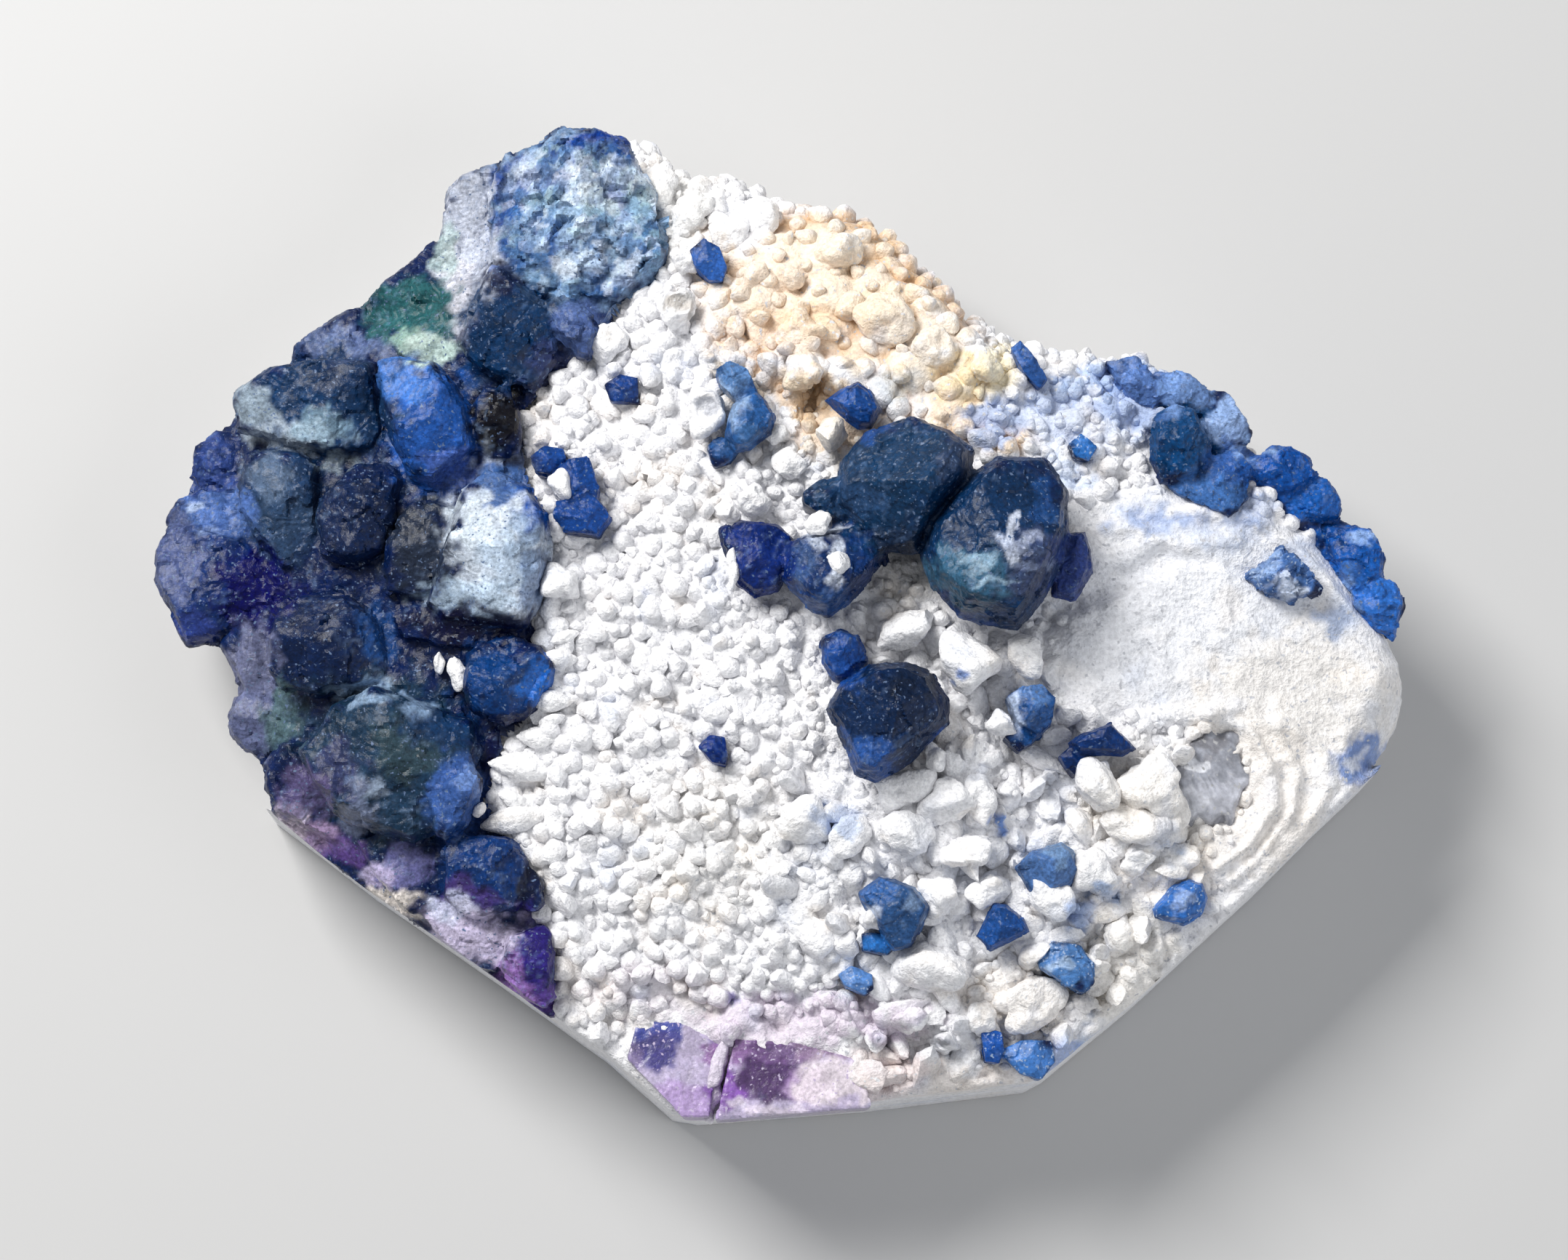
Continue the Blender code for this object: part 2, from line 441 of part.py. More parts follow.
def scattered_tips(outline, dice):
    """Tips of the grains: the known lumps first, then darts thrown at the face, each keeping its spacing."""
    tips = []
    for lump in LUMPS:
        x, y, _ = on_rock(lump.px, lump.py)
        tips.append((x, y, lump.radius * 2.0, lump.rise))
    low_x, high_x = min(p[0] for p in outline), max(p[0] for p in outline)
    low_y, high_y = min(p[1] for p in outline), max(p[1] for p in outline)
    for _ in range(26000):
        x, y = dice.uniform(low_x, high_x), dice.uniform(low_y, high_y)
        spacing, rise = ground_at(x, y)
        if any((x - tx) ** 2 + (y - ty) ** 2 < ((spacing + ts) / 2) ** 2 for tx, ty, ts, _ in tips):
            continue
        if holds(outline, x, y) and to_edge(outline, x, y) > SHOULDER_INSET + spacing * 0.4:
            tips.append((x, y, spacing, rise * dice.uniform(0.6, 1.3)))
    return tips


def triangulated(points, faces):
    """Delaunay triangles on plane points, inside the faces that are given."""
    made = delaunay_2d_cdt([Vector(p) for p in points], [], faces, 1 if faces else 0, 1e-5)
    return made[0], made[2]


def valley_points(tips, outline):
    """Points as far as can be from three tips: the corners where the valleys between grains meet."""
    places, triangles = triangulated([(t[0], t[1]) for t in tips], [])
    found = []
    for triangle in triangles:
        (ax, ay), (bx, by), (cx, cy) = (places[i] for i in triangle)
        twice = 2 * (ax * (by - cy) + bx * (cy - ay) + cx * (ay - by))
        if abs(twice) < 1e-6:
            continue
        a, b, c = ax * ax + ay * ay, bx * bx + by * by, cx * cx + cy * cy
        x = (a * (by - cy) + b * (cy - ay) + c * (ay - by)) / twice
        y = (a * (cx - bx) + b * (ax - cx) + c * (bx - ax)) / twice
        if holds(outline, x, y) and to_edge(outline, x, y) > SHOULDER_INSET + 0.6:
            if all((x - fx) ** 2 + (y - fy) ** 2 > 0.30 for fx, fy in found):
                found.append((x, y))
    return found


def rock_mesh():
    """The rock before the crystals' sockets are cut: sawn base, sides, and a face of grains."""
    dice = random.Random(7)
    ring = rock_outline()
    outline = []
    for index, (x, y, sawn) in enumerate(ring):
        inward = outward_at(ring, index) * (-SAWN_FLARE if sawn else 0.0)
        outline.append((x + inward.x, y + inward.y))
    tips = scattered_tips(outline, dice)
    flat = list(outline)
    heights = [rock_height(x, y) - SAWN_TOP_DROP if mark[2] else rock_height(x, y) * NATURAL_EDGE_SHARE
               for (x, y), mark in zip(outline, ring)]
    for index, (x, y, sawn) in enumerate(ring):
        outward = outward_at(ring, index)
        inner = (x - outward.x * SHOULDER_INSET, y - outward.y * SHOULDER_INSET)
        if not sawn and holds(outline, *inner) and to_edge(outline, *inner) > SHOULDER_INSET * 0.8:
            flat.append(inner)
            heights.append(rock_height(*inner) - SHOULDER_DROP + dice.uniform(-0.3, 0.3))
    for x, y, spacing, rise in tips:
        flat.append((x, y))
        heights.append(rock_height(x, y) + rise)
    for x, y in valley_points(tips, outline):
        flat.append((x, y))
        heights.append(rock_height(x, y) - ground_at(x, y)[1] * VALLEY_SHARE)
    places, triangles = triangulated(flat, [list(range(len(ring)))])
    mesh = bmesh.new()
    top = [mesh.verts.new((place.x, place.y, height)) for place, height in zip(places, heights)]
    for triangle in triangles:
        mesh.faces.new([top[i] for i in triangle])
    base = []
    for x, y, sawn in ring:
        share = 1.0 if sawn else BASE_SHARE
        base.append(mesh.verts.new((x * share, y * share, 0.0)))
    for index in range(len(ring)):
        after = (index + 1) % len(ring)
        mesh.faces.new((top[index], base[index], base[after], top[after]))
    mesh.faces.new(list(reversed(base)))
    bmesh.ops.recalc_face_normals(mesh, faces=mesh.faces)
    return mesh


def bed_mesh(name, grow=0.0):
    """The bed that a crust's crystals stand in: a sheet that follows the rock's face."""
    corners = [(*on_rock(px, py).to_2d(), False) for px, py in reversed(BEDS[name])]
    if sum(ax * by - bx * ay for (ax, ay, _), (bx, by, _) in zip(corners, corners[1:] + corners[:1])) < 0:
        corners.reverse()
    ring = walk(corners, BED_SPACING)
    dice = random.Random(name)
    inner = []
    low_x, high_x = min(x for x, _, _ in ring), max(x for x, _, _ in ring)
    low_y, high_y = min(y for _, y, _ in ring), max(y for _, y, _ in ring)
    line = [(x, y) for x, y, _ in ring]
    for _ in range(3000):
        x, y = dice.uniform(low_x, high_x), dice.uniform(low_y, high_y)
        if all(math.hypot(x - ix, y - iy) > BED_SPACING for ix, iy, _ in inner):
            if holds(line, x, y) and to_edge(line, x, y) > BED_SPACING * 0.35:
                inner.append((x, y, dice.uniform(-BED_UNEVENNESS, BED_UNEVENNESS)))
    places, triangles = triangulated(line + [(x, y) for x, y, _ in inner], [list(range(len(ring)))])
    mesh = bmesh.new()
    top, bottom = [], []
    for index, place in enumerate(places):
        x, y = place.x, place.y
        ground = rock_height(x, y)
        rise = BED_EDGE
        if index < len(ring):
            outward = outward_at(ring, index) * grow
            x, y = x + outward.x, y + outward.y
        else:
            rise = BED_TOP + inner[index - len(ring)][2]
        top.append(mesh.verts.new((x, y, ground + rise + grow)))
        bottom.append(mesh.verts.new((x, y, ground - BED_DEPTH - grow)))
    for one, two, three in triangles:
        mesh.faces.new((top[one], top[two], top[three]))
        mesh.faces.new((bottom[three], bottom[two], bottom[one]))
    for index in range(len(ring)):
        after = (index + 1) % len(ring)
        mesh.faces.new((top[index], bottom[index], bottom[after], top[after]))
    bmesh.ops.recalc_face_normals(mesh, faces=mesh.faces)
    return mesh


def crystal_faces(crystal, dice):
    """The middle of a crystal, and the outward normal and distance of each of its faces."""
    widest = [on_rock(px, py, crystal.rise) for px, py in crystal.outline]
    peak = on_rock(*crystal.peak, crystal.rise + crystal.cap)
    level = sum(point.z for point in widest) / len(widest)
    reach = max((point - peak).to_2d().length for point in widest)
    middle = Vector((peak.x, peak.y, level))
    small = crystal.cap < SMALL_CAP
    faces = [(Vector((0, 0, -1)), crystal.rise + ROOT_DEPTH)]
    hull = [widest[i].to_2d() for i in convex_hull_2d([point.to_2d() for point in widest])]
    turning = sum(one.cross(two) for one, two in zip(hull, hull[1:] + hull[:1]))
    for one, two in zip(hull, hull[1:] + hull[:1]):
        run = (two - one).normalized()
        if turning < 0:
            run.negate()
        outward = Vector((run.y, -run.x))
        away = outward.dot(one - middle.to_2d())
        for lean in [0.0] if small else [UPPER_LEAN, -LOWER_LEAN]:
            normal = Vector((outward.x * math.cos(lean), outward.y * math.cos(lean), math.sin(lean)))
            faces.append((normal, away * math.cos(lean)))
    start = dice.uniform(0, math.tau)
    slope = math.atan(0.8 * (peak.z - level) / reach)
    for index in range(PEAK_FACES):
        azimuth = start + math.tau * index / PEAK_FACES + dice.uniform(-0.25, 0.25)
        lean = slope * dice.uniform(0.8, 1.15)
        normal = Vector((math.cos(azimuth) * math.sin(lean), math.sin(azimuth) * math.sin(lean), math.cos(lean)))
        faces.append((normal, (peak.z - level) * normal.z))
    return middle, faces


def carved(middle, faces, grow=0.0):
    """A convex body cut out of a block by planes, each grow further out than it is given."""
    reach = 4.0 * max(distance for _, distance in faces) + grow
    mesh = bmesh.new()
    bmesh.ops.create_cube(mesh, size=2 * reach)
    for normal, distance in faces:
        everything = mesh.verts[:] + mesh.edges[:] + mesh.faces[:]
        cut = bmesh.ops.bisect_plane(mesh, geom=everything, dist=1e-5, plane_co=normal * (distance + grow),
                                     plane_no=normal, clear_outer=True)["geom_cut"]
        edges = [e for e in cut if isinstance(e, bmesh.types.BMEdge) and e.is_boundary]
        if edges:
            bmesh.ops.edgeloop_fill(mesh, edges=edges)
    bmesh.ops.remove_doubles(mesh, verts=mesh.verts, dist=0.05)
    bmesh.ops.dissolve_degenerate(mesh, edges=mesh.edges, dist=0.02)
    bmesh.ops.recalc_face_normals(mesh, faces=mesh.faces)
    bmesh.ops.translate(mesh, verts=mesh.verts, vec=middle)
    return mesh


def cluster_bodies(name, grow=0.0):
    """The crystals of a cluster, each a convex body, in millimetres, and the bed that they stand in."""
    dice = random.Random(name)
    bodies = [bed_mesh(name, grow)] if name in BEDS else []
    for crystal in CLUSTERS[name]:
        bodies.append(carved(*crystal_faces(crystal, dice), grow))
    return bodies


def block_body(block, grow=0.0):
    """A cleavage block: its outline in the picture, straight down from just over the rock's face."""
    corners = [on_rock(px, py, block.rise) for px, py in block.corners]
    middle = sum(corners, Vector()) / len(corners)
    faces = [(Vector((0, 0.10, 1)).normalized(), 0.0), (Vector((0, 0, -1)), block.depth)]
    for one, two in zip(corners, corners[1:] + corners[:1]):
        run = (two - one).to_2d().normalized()
        outward = Vector((run.y, -run.x, 0))
        if outward.dot(one - middle) < 0:
            outward.negate()
        faces.append((outward, outward.dot(one - middle)))
    return carved(middle, faces, grow)


def saw_cutters():
    """Blocks of air beyond the sawn sides, that start in line with the tops of the sides."""
    cutters = []
    for side in (SAWN_LOWER_LEFT, SAWN_BOTTOM, SAWN_LOWER_RIGHT):
        for one, two in zip(side, side[1:]):
            one, two = Vector(under(*one, 0.0)), Vector(under(*two, 0.0))
            run = (two - one).normalized()
            outward = Vector((run.y, -run.x))
            middle = (one + two) / 2 + outward * (20 - SAWN_FLARE / 2)
            mesh = bmesh.new()
            bmesh.ops.create_cube(mesh, size=1.0)
            turn = Matrix.Rotation(math.atan2(run.y, run.x), 4, "Z")
            place = Matrix.Translation((middle.x, middle.y, 10.0))
            length = (two - one).length + 4.0
            bmesh.ops.transform(mesh, verts=mesh.verts, matrix=place @ turn @ Matrix.Diagonal((length, 40, 60, 1)))
            cutters.append(mesh)
    return cutters


def node(name, mesh):
    """An object from a mesh in millimetres, linked to the scene."""
    mesh.transform(Matrix.Scale(MM, 4))
    data = bpy.data.meshes.new(name)
    mesh.to_mesh(data)
    mesh.free()
    made = bpy.data.objects.new(name, data)
    bpy.context.scene.collection.objects.link(made)
    return made


def helper(name, mesh):
    """A cutter or a piece of a union, which isn't a part of its own."""
    made = node(name, mesh)
    made.hide_render = True
    made.display_type = "WIRE"
    return made


def combined(target, others, operation):
    """Joins or cuts target with all the others at once, and bakes the result into its mesh."""
    group = bpy.data.collections.new(target.name + "_" + operation.lower())
    for other in others:
        group.objects.link(other)
    change = target.modifiers.new(operation.lower(), "BOOLEAN")
    change.operation = operation
    change.operand_type = "COLLECTION"
    change.collection = group
    change.solver = "EXACT"
    graph = bpy.context.evaluated_depsgraph_get()
    result = bpy.data.meshes.new_from_object(target.evaluated_get(graph))
    target.modifiers.clear()
    target.data = result
    for other in others:
        bpy.data.objects.remove(other)
    bpy.data.collections.remove(group)


def keep_largest(target):
    """Drops the chips that the cuts leave loose, and welds points that nearly meet."""
    mesh = bmesh.new()
    mesh.from_mesh(target.data)
    bmesh.ops.remove_doubles(mesh, verts=mesh.verts, dist=0.004 * MM)
    bmesh.ops.dissolve_degenerate(mesh, edges=mesh.edges, dist=0.004 * MM)
    bmesh.ops.triangulate(mesh, faces=mesh.faces)
    islands, seen = [], set()
    for start in mesh.verts:
        if start in seen:
            continue
        island, edge_of_search = [], [start]
        seen.add(start)
        while edge_of_search:
            vert = edge_of_search.pop()
            island.append(vert)
            for link in vert.link_edges:
                other = link.other_vert(vert)
                if other not in seen:
                    seen.add(other)
                    edge_of_search.append(other)
        islands.append(island)
    islands.sort(key=len)
    for island in islands[:-1]:
        bmesh.ops.delete(mesh, geom=island, context="VERTS")
    mesh.to_mesh(target.data)
    mesh.free()


def finish(target, look):
    """The plain material of a node."""
    colour, roughness = LOOKS[look]
    material = bpy.data.materials.get(look) or bpy.data.materials.new(look)
    material.use_nodes = True
    shader = material.node_tree.nodes["Principled BSDF"]
    shader.inputs["Base Color"].default_value = (*colour, 1.0)
    shader.inputs["Roughness"].default_value = roughness
    shader.inputs["Metallic"].default_value = 0.0
    target.data.materials.clear()
    target.data.materials.append(material)


def crystal_cluster(name):
    """One solid for crystals grown together. The saw trimmed the crust on the left with the rock."""
    first, *others = cluster_bodies(name)
    made = node(name, first)
    if others:
        pieces = [helper(f"{name}_piece_{n}", body) for n, body in enumerate(others)]
        combined(made, pieces, "UNION")
    if name == "left_fluorite_crust":
        saws = [helper(f"{name}_saw_{n}", body) for n, body in enumerate(saw_cutters())]
        combined(made, saws, "DIFFERENCE")
    keep_largest(made)
    finish(made, "pale_fluorite" if name in PALE_NODES else "fluorite")
    return made


def matrix():
    """The rock, with a socket for each crystal that keeps the seat gap."""
    made = node("matrix", rock_mesh())
    sockets = []
    for name in CLUSTERS:
        for n, body in enumerate(cluster_bodies(name, SEAT_GAP)):
            sockets.append(helper(f"{name}_socket_{n}", body))
    for name, block in BLOCKS.items():
        sockets.append(helper(f"{name}_socket", block_body(block, SEAT_GAP)))
    combined(made, sockets, "DIFFERENCE")
    keep_largest(made)
    finish(made, "quartz")
    return made


def main():
    for old in list(bpy.data.objects):
        bpy.data.objects.remove(old)
    matrix()
    for name in CLUSTERS:
        crystal_cluster(name)
    for name, block in BLOCKS.items():
        finish(node(name, block_body(block)), "violet_fluorite")


main()
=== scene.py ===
"""Looks of the blue fluorite specimen: a white quartz druse with dark blue, bright blue and violet crystals.

Metres, +Z up. Lengths in here are millimetres until a mesh is made. Places are read from the picture of
the specimen, in its pixels, and under() carries them to the height where the piece lies."""

import json
import math
import random
from itertools import product

import bmesh
import bpy
import numpy as np
from mathutils import Matrix, Vector
from mathutils.bvhtree import BVHTree
from mathutils.geometry import delaunay_2d_cdt

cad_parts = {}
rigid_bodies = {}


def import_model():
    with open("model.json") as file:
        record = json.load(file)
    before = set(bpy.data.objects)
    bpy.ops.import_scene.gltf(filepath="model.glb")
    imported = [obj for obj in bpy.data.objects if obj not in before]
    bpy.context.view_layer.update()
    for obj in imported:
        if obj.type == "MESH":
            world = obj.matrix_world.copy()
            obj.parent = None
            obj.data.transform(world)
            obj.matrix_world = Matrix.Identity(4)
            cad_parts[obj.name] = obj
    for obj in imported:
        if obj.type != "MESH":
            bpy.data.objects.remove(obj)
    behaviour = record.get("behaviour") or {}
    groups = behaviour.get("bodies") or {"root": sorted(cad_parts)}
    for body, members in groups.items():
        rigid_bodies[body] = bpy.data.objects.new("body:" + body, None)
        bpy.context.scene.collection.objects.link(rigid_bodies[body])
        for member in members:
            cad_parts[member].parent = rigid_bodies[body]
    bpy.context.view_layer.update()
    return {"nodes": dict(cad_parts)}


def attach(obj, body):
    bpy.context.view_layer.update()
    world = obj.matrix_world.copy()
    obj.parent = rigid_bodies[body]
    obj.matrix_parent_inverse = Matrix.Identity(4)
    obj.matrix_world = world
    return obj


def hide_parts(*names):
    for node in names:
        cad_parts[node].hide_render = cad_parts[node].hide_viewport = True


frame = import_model()

MM = 0.001
# The picture: millimetres to a pixel, the pixel that the camera looks at, and the size in pixels
PIXEL = 0.042
PICTURE_MIDDLE = (1077.0, 866.0)
PICTURE_SIZE = (2156.0, 1733.0)
# The camera: how far off the vertical, how far from the point it looks at, and where that point is
VIEW_TILT = math.radians(8.0)
VIEW_DISTANCE = 250.0
VIEW_HEIGHT = 13.0
ORIGIN_SHIFT = (0.03, -1.3)

# The rock's dome and rim, as in the solids
DOME_TOP = 15.5
DOME_MIDDLE = (7.0, -2.3)
DOME_FALL_X = 0.0042
DOME_FALL_Y = 0.0060
NATURAL_EDGE_SHARE = 0.45
BASE_SHARE = 0.93
SAWN_FLARE = 0.35
SAWN_TOP_DROP = 0.4

# The rock's widest line, as it shows in the picture, sawn and natural
SAWN_LOWER_LEFT = [(380, 1133), (520, 1240), (700, 1365), (835, 1462), (925, 1542)]
SAWN_BOTTOM = [(960, 1548), (1180, 1531), (1405, 1504)]
SAWN_LOWER_RIGHT = [(1430, 1491), (1550, 1392), (1720, 1235), (1800, 1155), (1866, 1092)]
NATURAL_RIGHT = [(1888, 1066), (1906, 1032), (1927, 985), (1934, 950), (1930, 918), (1908, 878), (1880, 830),
                 (1852, 780), (1815, 730), (1768, 685), (1720, 635), (1680, 590), (1630, 545), (1575, 512)]
NATURAL_TOP = [(1520, 500), (1465, 492), (1430, 488), (1372, 478), (1340, 453), (1300, 405), (1262, 378),
               (1232, 345), (1200, 320), (1170, 304), (1110, 298), (1085, 294), (1060, 275), (1030, 262),
               (1000, 254), (967, 255), (945, 240), (922, 227), (900, 211), (868, 206)]
NATURAL_LEFT = [(835, 222), (780, 216), (735, 232), (690, 262), (655, 300), (640, 345), (615, 390),
                (560, 430), (480, 470), (420, 510), (372, 548), (335, 605), (300, 662), (268, 730),
                (260, 800), (285, 850), (325, 880), (350, 930), (348, 990), (376, 1050), (378, 1100)]

# Outlines in the picture: the chalky part, the stained part, the blocky druse, what the left crust covers,
# and the violet strip
CHALK = [(1440, 700), (1560, 680), (1700, 690), (1790, 735), (1900, 810), (1965, 950), (1920, 1080),
         (1700, 1240), (1650, 1190), (1720, 1100), (1700, 1000), (1600, 985), (1475, 985), (1440, 900),
         (1480, 840)]
STAINED = [(960, 330), (1080, 290), (1170, 290), (1340, 440), (1340, 560), (1390, 625), (1250, 575),
           (1190, 530), (1060, 520), (965, 440)]
BLOCKY = [(1210, 860), (1480, 880), (1500, 1000), (1620, 1010), (1660, 1180), (1560, 1380), (1420, 1500),
          (1180, 1520), (1150, 1360), (1060, 1180), (1080, 1060), (1200, 1060)]
COVERED = [(870, 190), (910, 380), (780, 510), (710, 600), (745, 700), (740, 800), (700, 870), (745, 900),
           (720, 960), (665, 1120), (700, 1160), (745, 1250), (765, 1400), (370, 1130), (300, 900), (210, 750),
           (400, 480), (580, 280), (700, 180)]
VIOLET = [(840, 1455), (870, 1390), (960, 1380), (1100, 1395), (1200, 1430), (1230, 1490), (1190, 1540),
          (930, 1555)]

# First seeds of shapes and of paint; each piece counts on from them
CRYSTAL_SEED, LUMP_SEED, POINT_SEED = 100, 200, 50
CRYSTAL_PAINT, ROCK_PAINT, WINDOW_PAINT = 400, 500, 600


def under(px, py, height):
    """Where the thing that shows at a pixel lies, in millimetres, if it is at this height."""
    across = (px - PICTURE_MIDDLE[0]) * PIXEL
    up = (PICTURE_MIDDLE[1] - py) * PIXEL
    rise = height - VIEW_HEIGHT
    sine, cosine = math.sin(VIEW_TILT), math.cos(VIEW_TILT)
    y = up * (VIEW_DISTANCE - rise * cosine) - VIEW_DISTANCE * rise * sine
    y = y / (VIEW_DISTANCE * cosine - up * sine)
    x = across * (VIEW_DISTANCE + y * sine - rise * cosine) / VIEW_DISTANCE
    return x + ORIGIN_SHIFT[0], y + ORIGIN_SHIFT[1]


def shows_at(points):
    """Pixels at which points, an array of millimetres, show: under() the other way round."""
    x = points[:, 0] - ORIGIN_SHIFT[0]
    y = points[:, 1] - ORIGIN_SHIFT[1]
    rise = points[:, 2] - VIEW_HEIGHT
    sine, cosine = math.sin(VIEW_TILT), math.cos(VIEW_TILT)
    scale = VIEW_DISTANCE / (VIEW_DISTANCE + y * sine - rise * cosine)
    return np.stack([PICTURE_MIDDLE[0] + x * scale / PIXEL,
                     PICTURE_MIDDLE[1] - (y * cosine + rise * sine) * scale / PIXEL], axis=1)


def rock_height(x, y):
    """Height of the rock's face before its relief. Numbers or arrays."""
    return (DOME_TOP - DOME_FALL_X * (x - DOME_MIDDLE[0]) ** 2
            - DOME_FALL_Y * (y - DOME_MIDDLE[1]) ** 2)


def on_rock(px, py, lift=0.0):
    """The point, lift over the rock's face, that shows at a pixel."""
    height = DOME_TOP
    for _ in range(4):
        x, y = under(px, py, height)
        height = rock_height(x, y) + lift
    return Vector((x, y, height))


def hash_lattice(cells, seed):
    """A repeatable value from 0 to 1 for each integer cell."""
    cells = cells.astype(np.int64)
    n = cells[..., 0] * 73856093 ^ cells[..., 1] * 19349663 ^ cells[..., 2] * 83492791 ^ (seed * 2654435761)
    n = (n ^ (n >> 13)) * 1274126177
    n = n & 0x7FFFFFFF
    return ((n ^ (n >> 16)) & 0xFFFFFF) / float(0xFFFFFF)


def noise(points, size, seed=0):
    """Smooth value noise from -1 to 1 with features of a size in millimetres."""
    scaled = points / size
    base = np.floor(scaled)
    part = scaled - base
    part = part * part * (3 - 2 * part)
    total = np.zeros(len(points))
    for corner in range(8):
        offset = np.array([corner & 1, corner >> 1 & 1, corner >> 2 & 1])
        share = np.prod(np.where(offset, part, 1 - part), axis=1)
        total += share * hash_lattice(base + offset, seed)
    return total * 2 - 1


def cells_around(points, size, seed):
    """Each of the 27 cells round every point: the cell, and the way and distance from its scattered centre."""
    scaled = points / size
    base = np.floor(scaled)
    for step in product((-1, 0, 1), repeat=3):
        cell = base + np.array(step)
        offset = scaled - (cell + np.stack([hash_lattice(cell, seed + k) for k in range(3)], axis=1))
        yield cell, offset, np.linalg.norm(offset, axis=1)


def cells_noise(points, size, seed=0):
    """Distances to the two nearest of scattered centres, in sizes, and the nearest one's own value."""
    nearest, second, value = np.full(len(points), 9.0), np.full(len(points), 9.0), np.zeros(len(points))
    for cell, _, away in cells_around(points, size, seed):
        closer = away < nearest
        second = np.where(closer, nearest, np.minimum(second, away))
        value = np.where(closer, hash_lattice(cell, seed + 5), value)
        nearest = np.where(closer, away, nearest)
    return nearest, second, value


def facets(points, size, seed, step, slope):
    """Height in millimetres of a surface broken into small flat faces, each with its own height and lean."""
    nearest, height = np.full(len(points), 9.0), np.zeros(len(points))
    for cell, offset, away in cells_around(points, size, seed):
        lean = np.stack([hash_lattice(cell, seed + k) for k in (6, 7, 8)], axis=1) * 2 - 1
        own = step * (hash_lattice(cell, seed + 5) - 0.5) + slope * size * np.sum(offset * lean, axis=1)
        closer = away < nearest
        height = np.where(closer, own, height)
        nearest = np.where(closer, away, nearest)
    return height


def bend(points, far, size, seed):
    """A wandering shift of each point, so that what is laid out on them has no straight edges."""
    return far * np.stack([noise(points, size, seed + k) for k in (1, 2, 3)], axis=1)


def domes(points, size, seed, width=0.5):
    """Round heads from 0 to 1 high with sharp gaps between them, and each head's own value."""
    near, _, value = cells_noise(points, size, seed)
    return np.sqrt(np.clip(1 - near ** 2 / width, 0, 1)), value


def smooth_step(low, high, value):
    """0 below low, 1 above high, smooth between."""
    share = np.clip((value - low) / (high - low), 0, 1)
    return share * share * (3 - 2 * share)


def inside_share(outline, pixels, softness):
    """About 1 inside an outline in the picture and 0 outside, going over across softness pixels."""
    x, y = pixels[:, 0], pixels[:, 1]
    inside = np.zeros(len(pixels), bool)
    nearest = np.full(len(pixels), np.inf)
    for (ax, ay), (bx, by) in zip(outline, outline[1:] + outline[:1]):
        run_x, run_y = bx - ax, by - ay
        share = np.clip(((x - ax) * run_x + (y - ay) * run_y) / (run_x ** 2 + run_y ** 2), 0, 1)
        nearest = np.minimum(nearest, np.hypot(x - ax - share * run_x, y - ay - share * run_y))
        if run_y != 0:
            crosses = ((ay > y) != (by > y)) & (x < ax + (y - ay) / run_y * run_x)
            inside ^= crosses
    signed = np.where(inside, nearest, -nearest)
    return smooth_step(-softness / 2, softness / 2, signed)


# Strokes on the rock's face, as lines in the picture: half width in pixels, and height in millimetres
STROKES = [
    ([(1395, 868), (1440, 845), (1500, 812), (1560, 792), (1600, 770)], 26, -0.75),
    ([(1660, 985), (1715, 1000), (1745, 1050), (1752, 1110), (1715, 1165), (1670, 1195)], 12, 0.55),
    ([(1700, 975), (1755, 1005), (1785, 1060), (1775, 1120), (1730, 1180), (1690, 1215)], 10, 0.45),
    ([(1760, 990), (1815, 1030), (1830, 1080), (1800, 1130)], 12, 0.35),
    ([(1530, 1000), (1600, 985), (1660, 985), (1700, 975)], 16, 0.35),
    ([(1640, 700), (1720, 712), (1790, 760), (1850, 830), (1900, 880)], 14, 0.40),
    ([(1480, 730), (1560, 722), (1620, 748), (1700, 742)], 14, 0.30),
    ([(1620, 770), (1690, 780), (1745, 800)], 10, -0.30),
    ([(1655, 870), (1740, 880), (1820, 895), (1880, 930)], 6, -0.16),
    ([(1300, 868), (1322, 900), (1316, 940)], 14, -0.9),
    ([(1370, 880), (1360, 960), (1400, 1050), (1370, 1080)], 16, -0.8),
    ([(1085, 500), (1120, 520), (1115, 560)], 14, -1.0),
    ([(1020, 450), (1050, 500), (1030, 520)], 12, -0.8),
    ([(1155, 1350), (1200, 1390), (1210, 1440), (1330, 1450)], 18, -0.7),
    ([(1400, 1050), (1420, 1130), (1380, 1180), (1390, 1230)], 16, -0.7),
    ([(1280, 1190), (1330, 1200), (1385, 1190)], 12, -0.6),
]
# The grey quartz window in the chalky part
WINDOW = (1664, 1068, 58, 74)
CHALK_GRAIN_TURN = 0.3
# Middle and half sizes of the broken crystal at the top of the crust
BROKEN_CRYSTAL = (797, 300), (130, 118)


def walk(corners, step):
    """Points a step apart along a closed line of corners, each with whether its corners carry the mark."""
    points = []
    for (ax, ay, a_mark), (bx, by, b_mark) in zip(corners, corners[1:] + corners[:1]):
        steps = max(1, round(math.hypot(bx - ax, by - ay) / step))
        for part in range(steps):
            share = part / steps
            points.append((ax + share * (bx - ax), ay + share * (by - ay), a_mark and (b_mark or part == 0)))
    return points


def outward_at(points, index):
    """Outward normal of an anticlockwise closed line at one of its points."""
    before, after = points[index - 1], points[(index + 1) % len(points)]
    run = Vector((after[0] - before[0], after[1] - before[1])).normalized()
    return Vector((run.y, -run.x))


